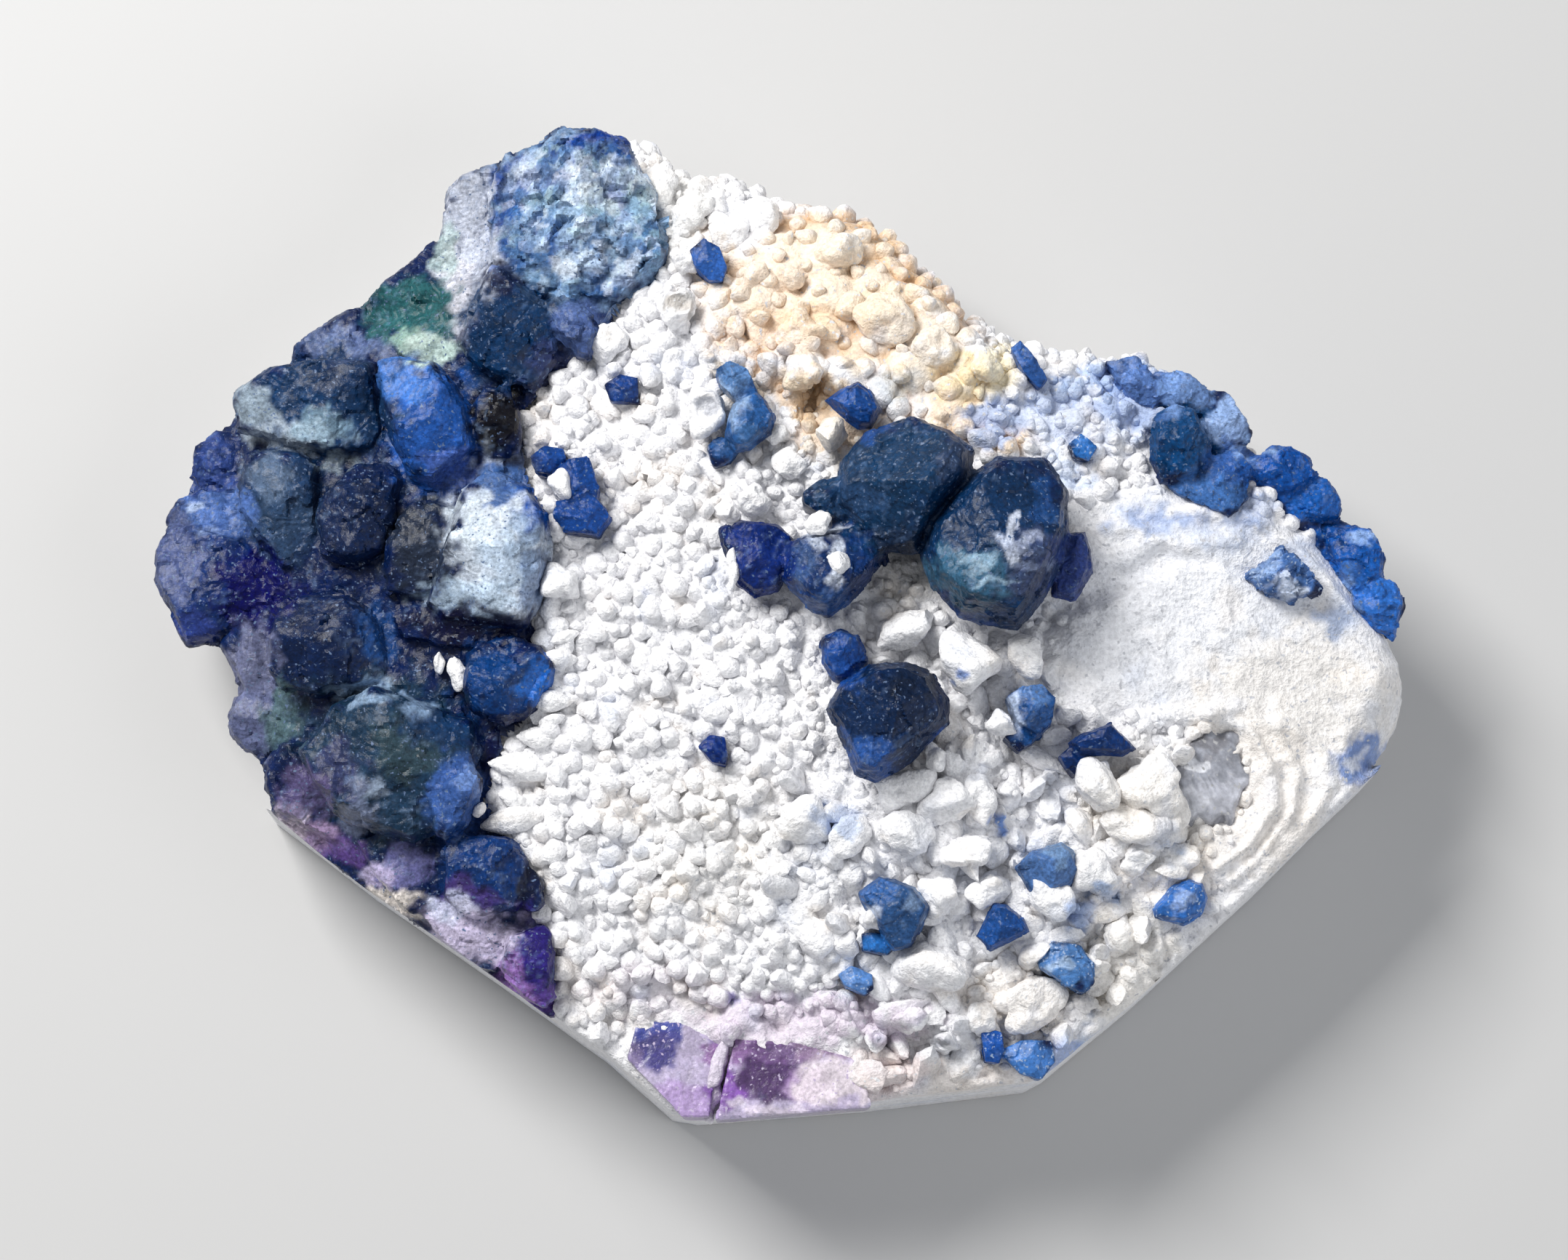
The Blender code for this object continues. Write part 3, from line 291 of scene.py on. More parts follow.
def rock_ring(step):
    """The rock's widest line as (x, y, sawn) points, anticlockwise."""
    corners = [(*under(px, py, 0.0), True) for px, py in SAWN_LOWER_LEFT + SAWN_BOTTOM + SAWN_LOWER_RIGHT]
    for px, py in NATURAL_RIGHT + NATURAL_TOP + NATURAL_LEFT:
        height = on_rock(px, py).z
        corners.append((*under(px, py, height * NATURAL_EDGE_SHARE), False))
    return walk(corners, step)


def line_distance(points, line, closed=False):
    """Distance in plan from each point to a line."""
    nearest = np.full(len(points), np.inf)
    ends = line[1:] + line[:1] if closed else line[1:]
    for (ax, ay), (bx, by) in zip(line, ends):
        run_x, run_y = bx - ax, by - ay
        length = run_x ** 2 + run_y ** 2
        if length == 0:
            continue
        x, y = points[:, 0] - ax, points[:, 1] - ay
        share = np.clip((x * run_x + y * run_y) / length, 0, 1)
        nearest = np.minimum(nearest, np.hypot(x - share * run_x, y - share * run_y))
    return nearest


# Fineness of the rock's mesh: along its rim, on its open face, under crystals, and rows down its side
ROCK_STEP = 0.4
ROCK_FINE = 0.25
ROCK_COARSE = 1.2
SIDE_ROWS = 22
# How far cut crystals stand out of the sawn side, and how much lower the rock's rim is under the crust
SAWN_PROUD = 0.07
SAWN_UNDER_CRUST = 1.3
# A crystal's underside counts as hidden this far inside the rim and this far under the rock's face
HIDDEN_INSIDE = 2.2
HIDDEN_UNDER = 0.75
SAWN_LINE = [under(px, py, 0.0) for px, py in SAWN_LOWER_LEFT + SAWN_BOTTOM + SAWN_LOWER_RIGHT]
RIM_LINE = [(x, y) for x, y, _ in rock_ring(1.5)]
NATURAL_LINE = [(x, y) for x, y, sawn in rock_ring(2.0) if not sawn]


def coordinates(mesh):
    """A mesh's points as an array of millimetres."""
    found = np.empty(len(mesh.vertices) * 3)
    mesh.vertices.foreach_get("co", found)
    return found.reshape(-1, 3) / MM


def normals_of(mesh):
    """A mesh's point normals as an array."""
    found = np.empty(len(mesh.vertices) * 3)
    mesh.vertex_normals.foreach_get("vector", found)
    return found.reshape(-1, 3)


def place(mesh, points):
    """Sets a mesh's points from an array of millimetres."""
    mesh.vertices.foreach_set("co", (points * MM).ravel())
    mesh.update()


def finished(mesh, name):
    """A bmesh turned to mesh data."""
    data = bpy.data.meshes.new(name)
    mesh.to_mesh(data)
    mesh.free()
    return data


def shown(name, mesh):
    """An object for a mesh, linked to the scene."""
    made = bpy.data.objects.new(name, mesh)
    bpy.context.scene.collection.objects.link(made)
    return made


def baked(thing):
    """The mesh that an object's modifiers give, as the object's own."""
    graph = bpy.context.evaluated_depsgraph_get()
    mesh = bpy.data.meshes.new_from_object(thing.evaluated_get(graph))
    thing.modifiers.clear()
    old = thing.data
    thing.data = mesh
    bpy.data.meshes.remove(old)
    return thing


def smooth(thing, sharp=180):
    """Shades a piece smooth, but for edges sharper than this many degrees."""
    thing.data.shade_smooth()
    if sharp < 180:
        thing.data.set_sharp_from_angle(angle=math.radians(sharp))
    return thing


def face_relief(points, pixels):
    """Height in millimetres that the rock's face stands over its dome."""
    chalk, stained = inside_share(CHALK, pixels, 40), inside_share(STAINED, pixels, 40)
    covered, blocky = inside_share(COVERED, pixels, 50), inside_share(BLOCKY, pixels, 60)
    flat = points.copy()
    flat[:, 2] = 0
    bent = flat + 0.3 * np.stack([noise(flat, 0.9, 41), noise(flat, 0.9, 42), np.zeros(len(flat))], axis=1)
    small, small_value = domes(bent, 1.35, 43)
    large, large_value = domes(bent, 2.3, 44)
    tiny, tiny_value = domes(bent, 0.6, 45)
    heads = (0.95 * small * (0.35 + 0.8 * small_value) * (1 - blocky)
             + blocky * 1.5 * large * (0.2 + 0.9 * large_value) + 0.3 * tiny * tiny_value)
    relief = -0.85 + heads - 0.15 * blocky + 0.35 * noise(flat, 2.6, 1) + 0.10 * noise(flat, 0.5, 2)
    turn, lean = math.cos(CHALK_GRAIN_TURN), math.sin(CHALK_GRAIN_TURN)
    along = flat @ np.array([[turn, -lean, 0], [lean, turn, 0], [0, 0, 1]])
    streaks = noise(along * np.array([0.28, 1.3, 1]), 0.8, 52)
    chalky = (0.07 * streaks + 0.40 * noise(flat, 8.0, 3) + 0.14 * noise(flat, 2.4, 4)
              + 0.10 * noise(flat, 0.9, 5) + 0.06 * noise(flat, 0.5, 6)
              + facets(flat + 0.4 * noise(flat, 0.9, 7)[:, None], 2.2, 8, 0.16, 0.06))
    relief = relief * (1 - chalk) + chalky * chalk
    lumps, lump_value = domes(flat, 2.3, 11, 0.55)
    lumpy = 0.9 * lumps * (0.5 + lump_value) - 0.35 + 0.1 * noise(flat, 0.6, 12)
    relief = relief * (1 - stained) + lumpy * stained
    relief -= 0.9 * covered
    for line, width, height in STROKES:
        away = line_distance(pixels, line) + 5 * noise(flat, 1.6, 21)
        relief += height * (1 - smooth_step(0.2, 1.0, away / width)) ** 1.2
    # The window lies in a hollow
    wx, wy, wide, tall = WINDOW
    share = np.hypot((pixels[:, 0] - wx) / wide, (pixels[:, 1] - wy) / tall)
    return relief - 0.7 * (1 - smooth_step(0.66, 1.0, share + 0.12 * noise(flat, 1.3, 51)))


def plan_grid(step):
    """Points of a slightly uneven triangular grid over the whole plan."""
    rows, columns = int(60 / (step * 0.866)) + 2, int(76 / step) + 2
    row, column = np.meshgrid(np.arange(rows), np.arange(columns), indexing="ij")
    dice = np.random.RandomState(3)
    x = -38 + (column + (row % 2) / 2) * step + dice.uniform(-0.1, 0.1, row.shape) * step
    y = -30 + row * step * 0.866 + dice.uniform(-0.1, 0.1, row.shape) * step
    return np.stack([x.ravel(), y.ravel(), rock_height(x.ravel(), y.ravel())], axis=1)


def crystal_tree():
    """All the crystals' solids together, to look for what lies over a place."""
    places, faces = [], []
    for node, thing in frame["nodes"].items():
        if node == "matrix":
            continue
        start = len(places)
        places.extend(tuple(p) for p in coordinates(thing.data))
        faces.extend(tuple(start + i for i in face.vertices) for face in thing.data.polygons)
    return BVHTree.FromPolygons(places, faces)


CRYSTAL_TREE = crystal_tree()


def covered_by_crystal(points):
    """Whether a crystal lies right over each point."""
    down = Vector((0, 0, -1))
    hits = [CRYSTAL_TREE.ray_cast(Vector((x, y, 60.0)), down)[0] for x, y, _ in points]
    return np.array([hit is not None and hit.z > point[2] - 0.2 for hit, point in zip(hits, points)], bool)


def make_rock():
    """The quartz rock: a fine face, natural and sawn sides, and the flat back."""
    ring = rock_ring(ROCK_STEP)
    edge, heights = [], []
    for index, (x, y, sawn) in enumerate(ring):
        inward = outward_at(ring, index) * (-SAWN_FLARE if sawn else 0.0)
        edge.append((x + inward.x, y + inward.y))
        whole = rock_height(*edge[-1])
        heights.append(whole - SAWN_TOP_DROP if sawn else whole * NATURAL_EDGE_SHARE)
    fine, coarse = plan_grid(ROCK_FINE), plan_grid(ROCK_COARSE)
    grid = np.concatenate([fine[~covered_by_crystal(fine)], coarse[covered_by_crystal(coarse)]])
    away = line_distance(grid, edge, closed=True)
    grid = grid[(inside_share(edge, grid[:, :2], 1e-6) > 0.5) & (away > ROCK_STEP * 0.6)]
    triangles = delaunay_2d_cdt([Vector(p) for p in edge] + [Vector(p[:2]) for p in grid], [],
                                [list(range(len(edge)))], 1, 1e-6)
    places, faces = triangles[0], triangles[2]
    plan = np.array([(p.x, p.y, 0.0) for p in places])
    natural = line_distance(plan, NATURAL_LINE)
    sawn_away = line_distance(plan, SAWN_LINE)
    whole = rock_height(plan[:, 0], plan[:, 1])
    rounding = np.sqrt(1 - (1 - np.clip(natural / 3.0, 0, 1)) ** 2)
    height = whole * (NATURAL_EDGE_SHARE + (1 - NATURAL_EDGE_SHARE) * rounding)
    height = np.where(sawn_away < 0.6, whole - SAWN_TOP_DROP, height)
    height[:len(edge)] = heights
    plan[:, 2] = height
    covered = inside_share(COVERED, shows_at(plan), 60)
    height -= SAWN_UNDER_CRUST * covered * (1 - smooth_step(0.6, 1.4, sawn_away))
    heights = height[:len(edge)]
    mesh = bmesh.new()
    top = [mesh.verts.new((x, y, z)) for (x, y, _), z in zip(plan, height)]
    for face in faces:
        mesh.faces.new([top[i] for i in face])
    rings = [top[:len(edge)]]
    for level in range(1, SIDE_ROWS + 1):
        share = level / SIDE_ROWS
        row = []
        for index, (x, y, sawn) in enumerate(ring):
            foot = 1.0 if sawn else BASE_SHARE
            one, two = Vector((*edge[index], heights[index])), Vector((x * foot, y * foot, 0.0))
            row.append(mesh.verts.new(one.lerp(two, share)))
        rings.append(row)
    for above, below in zip(rings, rings[1:]):
        for index in range(len(ring)):
            after = (index + 1) % len(ring)
            mesh.faces.new((above[index], below[index], below[after], above[after]))
    mesh.faces.new(list(reversed(rings[-1])))
    bmesh.ops.triangulate(mesh, faces=[f for f in mesh.faces if len(f.verts) > 4])
    bmesh.ops.recalc_face_normals(mesh, faces=mesh.faces)
    mesh.transform(Matrix.Scale(MM, 4))
    rock = shown("quartz_rock", finished(mesh, "quartz_rock"))
    points, normals = coordinates(rock.data), normals_of(rock.data)
    back = points[:, 2] < 0.02
    sawn = (line_distance(points, SAWN_LINE) < 0.55) & (normals[:, 2] < 0.55)
    pixels = shows_at(points)
    up = smooth_step(0.15, 0.6, normals[:, 2])
    relief = face_relief(points, pixels) * up * smooth_step(0.2, 1.2, line_distance(points, SAWN_LINE))
    rough = 0.45 * noise(points, 3.0, 31) + 0.22 * noise(points, 1.1, 32) + 0.08 * noise(points, 0.45, 33)
    points[:, 2] += np.where(back | sawn, 0, relief)
    side = (1 - up) * (~back & ~sawn) * smooth_step(0.0, 1.0, points[:, 2])
    points += normals * (rough * side)[:, None] - normals * (0.25 * side)[:, None]
    saw = 0.02 * noise(points * np.array([1, 1, 6.0]), 0.8, 34)
    points += normals * (saw * sawn)[:, None]
    points[:, 2] = np.maximum(points[:, 2], 0.0)
    place(rock.data, points)
    return smooth(rock)


def pressed(ray, faces, sharpness):
    """How far out a ball pressed flat by a crystal's faces, (normal, distance) pairs, reaches along a ray."""
    reach = sum((max(0.0, ray.dot(normal)) / distance) ** sharpness for normal, distance in faces)
    return reach ** (-1 / sharpness)


def crystal_grain(name, faces, seed, finer=2, squash=(1, 1, 1), unevenness=0.05):
    """A grain with the faces of a crystal."""
    mesh = bmesh.new()
    bmesh.ops.create_icosphere(mesh, subdivisions=finer, radius=1.0)
    dice = random.Random(seed)
    for vert in mesh.verts:
        ray = vert.co.normalized()
        length = pressed(ray, faces, 9) * (1 + dice.uniform(-unevenness, unevenness))
        vert.co = Vector([along * length * flat for along, flat in zip(ray, squash)])
    return finished(mesh, name)


def quartz_faces(seed, tip=0.62):
    """A stubby quartz crystal: six sides, and six faces to each tip."""
    dice = random.Random(seed)
    faces = []
    for index in range(6):
        angle = index * math.pi / 3
        side = Vector((math.cos(angle), math.sin(angle), 0))
        faces.append((side, dice.uniform(0.72, 0.95)))
        for up in (-1, 1):
            slant = Vector((side.x * tip, side.y * tip, up * math.sqrt(1 - tip ** 2)))
            faces.append((slant, dice.uniform(0.72, 1.05)))
    return faces


def block_faces(seed, count=9):
    """A block with faces in no particular order."""
    dice = random.Random(seed)
    return [(Vector([dice.gauss(0, 1) for _ in range(3)]).normalized(), dice.uniform(0.62, 1.0))
            for _ in range(count * 2)]


def new_node(tree, kind, values=(), **settings):
    """A new node of a tree, with its settings, and each input by name or number set to a value or linked."""
    made = tree.nodes.new(kind)
    for key, value in settings.items():
        setattr(made, key, value)
    for key, value in dict(values).items():
        if isinstance(value, bpy.types.NodeSocket):
            tree.links.new(value, made.inputs[key])
        else:
            made.inputs[key].default_value = value
    return made


def scatter_tree():
    """Geometry Nodes that grow grains on a surface: named sizes, one seed, real mesh at the end."""
    tree = bpy.data.node_groups.new("grains_on_a_surface", "GeometryNodeTree")
    face = tree.interface
    for name, kind, value in (("Surface", "Geometry", None), ("Spacing", "Float", 0.7),
                              ("Smallest", "Float", 0.3), ("Largest", "Float", 0.6), ("Tilt", "Float", 0.6),
                              ("Seed", "Int", 1), ("Shapes", "Collection", None),
                              ("Material", "Material", None)):
        socket = face.new_socket(name, in_out="INPUT", socket_type="NodeSocket" + kind)
        if value is not None:
            socket.default_value = value
    face.new_socket("Grains", in_out="OUTPUT", socket_type="NodeSocketGeometry")
    given = new_node(tree, "NodeGroupInput").outputs
    points = new_node(tree, "GeometryNodeDistributePointsOnFaces",
                      {"Mesh": given["Surface"], "Distance Min": given["Spacing"], "Density Max": 4.0e6,
                       "Seed": given["Seed"]}, distribute_method="POISSON").outputs
    shapes = new_node(tree, "GeometryNodeCollectionInfo",
                      {"Collection": given["Shapes"], "Separate Children": True, "Reset Children": True})
    size = new_node(tree, "FunctionNodeRandomValue",
                    {2: given["Smallest"], 3: given["Largest"], "Seed": given["Seed"]}, data_type="FLOAT")
    grow = new_node(tree, "GeometryNodeInstanceOnPoints",
                    {"Points": points["Points"], "Rotation": points["Rotation"], "Scale": size.outputs[1],
                     "Instance": shapes.outputs["Instances"], "Pick Instance": True})
    less = new_node(tree, "ShaderNodeMath", {0: given["Tilt"], 1: -1.0}, operation="MULTIPLY").outputs[0]
    low = new_node(tree, "ShaderNodeCombineXYZ", {0: less, 1: less, 2: -math.pi})
    high = new_node(tree, "ShaderNodeCombineXYZ", {0: given["Tilt"], 1: given["Tilt"], 2: math.pi})
    lean = new_node(tree, "FunctionNodeRandomValue", {0: low.outputs[0], 1: high.outputs[0]},
                    data_type="FLOAT_VECTOR")
    turn = new_node(tree, "GeometryNodeRotateInstances",
                    {"Instances": grow.outputs[0], "Rotation": lean.outputs[0]})
    real = new_node(tree, "GeometryNodeRealizeInstances", {"Geometry": turn.outputs[0]})
    finish = new_node(tree, "GeometryNodeSetMaterial",
                      {"Geometry": real.outputs[0], "Material": given["Material"]})
    new_node(tree, "NodeGroupOutput", {"Grains": finish.outputs[0]})
    return tree


def shape_shelf(name, meshes):
    """A collection of grain shapes that the scattering picks from."""
    shelf = bpy.data.collections.new(name)
    for index, mesh in enumerate(meshes):
        shelf.objects.link(bpy.data.objects.new(f"{name}_{index}", mesh))
    return shelf


def surface_part(rock, name, share):
    """The faces of the rock with a share above a half, as an object to grow grains on."""
    mesh = bmesh.new()
    mesh.from_mesh(rock.data)
    outside = [face for face, value in zip(mesh.faces, share) if value < 0.5]
    bmesh.ops.delete(mesh, geom=outside, context="FACES")
    return shown(name, finished(mesh, name))


def grow_grains(tree, rock, name, share, shelf, **sizes):
    """Grains on the part of the rock that share gives, as one plain mesh."""
    surface = surface_part(rock, name, share)
    spread = surface.modifiers.new("grains", "NODES")
    spread.node_group = tree
    where = {item.name: item.identifier for item in tree.interface.items_tree if item.item_type == "SOCKET"}
    for key, value in (*sizes.items(), ("Shapes", shelf), ("Material", MATERIALS["quartz_druse"])):
        spread[where[key]] = value
    baked(surface)
    surface.data.name = name
    return smooth(surface, 46)


def close_hidden_side(piece):
    """Swaps the fine underside that lies on the rock, where nothing sees it, for a few large faces."""
    mesh = bmesh.new()
    mesh.from_mesh(piece.data)
    middles = np.array([face.calc_center_median() for face in mesh.faces]) / MM
    inner = line_distance(middles, RIM_LINE, closed=True) > HIDDEN_INSIDE
    low = middles[:, 2] < rock_height(middles[:, 0], middles[:, 1]) - HIDDEN_UNDER
    hidden = [face for face, gone in zip(mesh.faces, low & inner) if gone]
    bmesh.ops.delete(mesh, geom=hidden, context="FACES")
    loops = bmesh.ops.holes_fill(mesh, edges=[e for e in mesh.edges if e.is_boundary], sides=0)
    bmesh.ops.triangulate(mesh, faces=[f for f in loops["faces"] if len(f.verts) > 4])
    mesh.to_mesh(piece.data)
    mesh.free()


def crystal_piece(name, node, voxel, relief, seed, crumbled=0.0):
    """A finely faced copy of a crystal node, with the stepped growth relief of its faces."""
    mesh = bmesh.new()
    mesh.from_mesh(frame["nodes"][node].data)
    bmesh.ops.remove_doubles(mesh, verts=mesh.verts, dist=1e-6)
    piece = shown(name, finished(mesh, name))
    finer = piece.modifiers.new("finer", "REMESH")
    finer.mode = "VOXEL"
    finer.voxel_size = voxel * MM
    baked(piece)
    close_hidden_side(piece)
    points, normals = coordinates(piece.data), normals_of(piece.data)
    bent, slow = points + bend(points, 0.22, 0.6, seed), points + bend(points, 0.5, 1.5, seed)
    rise = 5.0 * noise(slow, 2.6, seed + 4)
    steps = np.floor(rise) + smooth_step(0.35, 0.65, rise - np.floor(rise))
    # Growth steps, then large and small faces, then a slow and a fine unevenness, in millimetres
    height = (0.04 * steps + facets(bent, 1.7, seed, 0.10, 0.11) + facets(bent, 0.7, seed + 20, 0.045, 0.09)
              + 0.10 * noise(points, 2.4, seed + 6) + 0.035 * noise(points, 0.27, seed + 8))
    middle, size = BROKEN_CRYSTAL
    broken = 1 - smooth_step(0.8, 1.1, np.hypot(*((shows_at(points) - middle) / size).T))
    height += broken * (facets(bent, 1.3, seed + 40, 0.45, 0.42) - 0.1)
    if crumbled:
        height += crumbled * facets(bent, 0.8, seed + 60, 0.5, 0.5)
    cut = (line_distance(points, SAWN_LINE) < 0.5) & (np.abs(normals[:, 2]) < 0.5)
    points += normals * np.where(cut, SAWN_PROUD, height * relief)[:, None]
    points[:, 2] = np.maximum(points[:, 2], 0.2)
    place(piece.data, points)
    smooth(piece, 26)
    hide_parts(node)
    return piece


def lump_mesh(seed, px, py, wide, tall, deep, lift, turn, hollow):
    """A quartz lump known by its place: a block with a rough skin, with a pit in its top if it is hollow."""
    mesh = bmesh.new()
    bmesh.ops.create_icosphere(mesh, subdivisions=4, radius=1.0)
    faces = block_faces(seed, 13)
    rays = [vert.co.normalized() for vert in mesh.verts]
    points = np.array([ray * pressed(ray, faces, 10) for ray in rays])
    if hollow:
        pit = 1 - hollow * (1 - smooth_step(0.25, 0.62, np.hypot(points[:, 0], points[:, 1])))
        points[:, 2] = np.where(points[:, 2] > 0, points[:, 2] * pit, points[:, 2])
    spin = np.array(Matrix.Rotation(math.radians(turn), 3, "Z"))
    middle = np.array(on_rock(px, py, lift))
    points = (points * np.array([wide, tall, deep])) @ spin.T + middle
    ray = points - middle
    ray = ray / np.linalg.norm(ray, axis=1)[:, None]
    near, second, value = cells_noise(points, 0.85, seed)
    rough = (0.20 * noise(points, 0.9, seed) + 0.13 * noise(points, 0.42, seed + 1)
             + 0.16 * noise(points, 1.7, seed) + 0.20 * (value - 0.5) * smooth_step(0.0, 0.2, second - near))
    for vert, point in zip(mesh.verts, points + ray * rough[:, None]):
        vert.co = Vector(point) * MM
    return finished(mesh, "lump")


def joined(name, meshes):
    """Several meshes as one piece of druse."""
    mesh = bmesh.new()
    for data in meshes:
        mesh.from_mesh(data)
        bpy.data.meshes.remove(data)
    data = finished(mesh, name)
    data.materials.append(MATERIALS["quartz_druse"])
    return smooth(shown(name, data), 50)


# White quartz lumps large enough to be known one by one: place in the picture, three radii and the lift over
# the rock in millimetres, the turn in degrees, and how hollow the top is
LUMPS = [
    (1283, 1338, 2.6, 1.75, 1.7, 0.9, -18, 0), (1245, 1150, 2.1, 1.4, 1.5, 0.8, -12, 0),
    (1330, 1172, 2.0, 1.3, 1.5, 0.8, 10, 0), (1300, 1098, 1.9, 1.6, 1.6, 0.8, 40, 0),
    (1243, 1085, 1.8, 1.4, 1.5, 0.7, 20, 0), (1345, 1092, 1.6, 1.3, 1.4, 0.7, 70, 0),
    (1508, 1072, 1.5, 1.8, 1.7, 1.5, 15, 0), (1577, 1080, 2.3, 2.1, 1.7, 1.2, 60, 0),
    (1552, 1130, 2.3, 1.8, 1.7, 1.0, 0, 0.25), (1606, 1118, 1.7, 2.2, 1.6, 0.6, 20, 0),
    (1560, 1185, 1.3, 1.1, 1.1, 0.5, 40, 0), (1622, 1180, 1.4, 1.0, 1.0, 0.2, 10, 0),
    (1446, 1232, 1.5, 1.9, 1.7, 1.3, 30, 0), (1500, 1195, 1.5, 1.7, 1.4, 0.8, 60, 0),
    (1290, 1232, 1.6, 1.4, 1.5, 0.7, 80, 0), (1362, 1222, 1.5, 1.3, 1.4, 0.6, 20, 0),
    (1328, 912, 1.9, 2.1, 2.0, 1.2, 0, 0), (1408, 900, 1.3, 1.6, 1.4, 0.8, 10, 0),
    (1250, 862, 1.9, 1.3, 1.4, 0.5, 20, 0), (1036, 690, 1.3, 1.2, 1.4, 0.9, 15, 0),
    (1146, 600, 1.0, 1.3, 1.4, 1.0, 0, 0), (1085, 640, 1.1, 1.0, 1.1, 0.5, 40, 0),
    (1070, 600, 0.9, 0.8, 0.9, 0.6, 10, 0), (972, 566, 1.35, 1.35, 1.4, 1.2, 0, 0.7),
    (935, 420, 1.5, 1.25, 1.2, 0.8, 20, 0.7), (1108, 515, 1.3, 1.3, 1.4, 0.9, 0, 0),
    (770, 800, 1.5, 1.5, 1.5, 0.9, 0, 0), (941, 358, 1.0, 1.1, 1.2, 0.6, 0, 0),
    (775, 672, 0.95, 1.3, 1.5, 1.0, 25, 0), (840, 468, 1.3, 1.4, 1.2, 0.5, 0, 0),
    (1124, 722, 0.85, 0.95, 0.9, 4.0, 30, 0), (1153, 775, 0.62, 1.15, 0.9, 4.2, 25, 0),
    (1009, 778, 0.65, 1.25, 1.2, 2.0, 5, 0), (1284, 1042, 0.9, 0.8, 1.1, 1.5, 30, 0),
    (1378, 998, 1.0, 1.2, 1.4, 1.0, 0, 0), (1196, 1262, 0.8, 1.0, 1.4, 1.3, 0, 0),
    (1150, 350, 1.9, 1.5, 1.2, 0.2, 30, 0), (1218, 440, 2.2, 1.8, 1.5, 0.5, 20, 0),
    (1100, 455, 1.9, 1.4, 1.3, 0.4, 0, 0), (1038, 385, 1.5, 1.2, 1.1, 0.4, 40, 0),
    (1282, 478, 1.5, 1.4, 1.2, 0.4, 10, 0), (1355, 505, 1.3, 1.3, 1.2, 0.5, 0, 0),
    (1005, 318, 1.7, 1.3, 1.1, 0.2, 10, 0), (1050, 300, 1.5, 1.2, 1.0, 0.0, 50, 0),
    (955, 290, 1.9, 1.3, 1.1, 0.1, 30, 0), (905, 262, 1.8, 1.3, 1.0, 0.1, 70, 0),
    (1420, 1378, 2.6, 2.1, 1.3, 0.2, 40, 0.45), (1500, 1330, 1.2, 1.2, 1.1, 0.3, 0, 0),
    (1540, 1290, 1.3, 1.0, 1.0, 0.3, 40, 0), (1250, 1400, 1.5, 1.2, 1.1, 0.3, 10, 0),
    (1348, 1400, 1.4, 1.3, 1.2, 0.3, 60, 0), (1206, 1425, 0.9, 0.9, 0.8, 0.1, 0, 0.6),
    (1300, 1432, 1.2, 0.9, 0.8, 0.1, 0, 0.5), (1060, 1195, 1.2, 1.0, 1.0, 0.4, 0, 0),
    (1108, 1130, 1.9, 1.5, 1.4, 0.5, 20, 0), (1165, 1155, 1.5, 1.2, 1.2, 0.4, 60, 0),
    (990, 1462, 0.45, 1.7, 0.9, 0.0, -16, 0), (1000, 1425, 0.6, 0.8, 0.8, 0.2, 0, 0),
    (983, 1503, 0.4, 1.3, 0.9, 0.0, -14, 0), (977, 1532, 0.4, 0.8, 0.9, -0.2, -10, 0),
    (627, 925, 0.5, 1.15, 0.9, 1.0, 5, 0), (603, 908, 0.35, 0.6, 0.6, 1.0, 0, 0),
    (657, 1116, 0.35, 0.35, 0.5, 1.4, 0, 0), (1232, 1016, 0.6, 0.9, 1.0, 0.8, 0, 0),
]
# White points that stand out over the dark crust where the druse begins: tip, length in millimetres, heading
POINTS = [(764, 880, 0.7, 200), (749, 906, 0.9, 180), (736, 964, 1.1, 180), (747, 994, 0.6, 200),
          (719, 1013, 1.0, 175), (685, 1053, 1.5, 175), (691, 1094, 0.8, 160), (674, 1137, 1.6, 195),
          (738, 1180, 0.9, 190)]


def make_points():
    """Long quartz points, each lying with its tip to the left over the crust."""
    meshes = []
    for index, (px, py, length, heading) in enumerate(POINTS):
        faces = quartz_faces(POINT_SEED + index, tip=0.78)
        data = crystal_grain("point", faces, POINT_SEED + 10 + index, finer=4, squash=(0.62, 0.7, 1.0))
        tip = on_rock(px, py, 0.1)
        angle = math.radians(heading)
        away = Vector((math.cos(angle), math.sin(angle), 0.12)).normalized()
        turn = away.to_track_quat("Z", "Y").to_matrix().to_4x4()
        middle = tip - away * length * 0.9
        data.transform(Matrix.Translation(middle * MM) @ turn @ Matrix.Scale(length * 1.1 * MM, 4))
        meshes.append(data)
    return joined("druse_points", meshes)


def plain(colour, sheen=0.0):
    """Linear light for a colour, 0xRRGGBB as the eye reads it, less the sheen that gloss lays over it."""
    shares = np.array([colour >> 16, colour >> 8 & 255, colour & 255]) / 255.0
    linear = np.where(shares <= 0.04045, shares / 12.92, ((shares + 0.055) / 1.055) ** 2.4)
    return np.maximum(linear - sheen, 0.1 * linear)


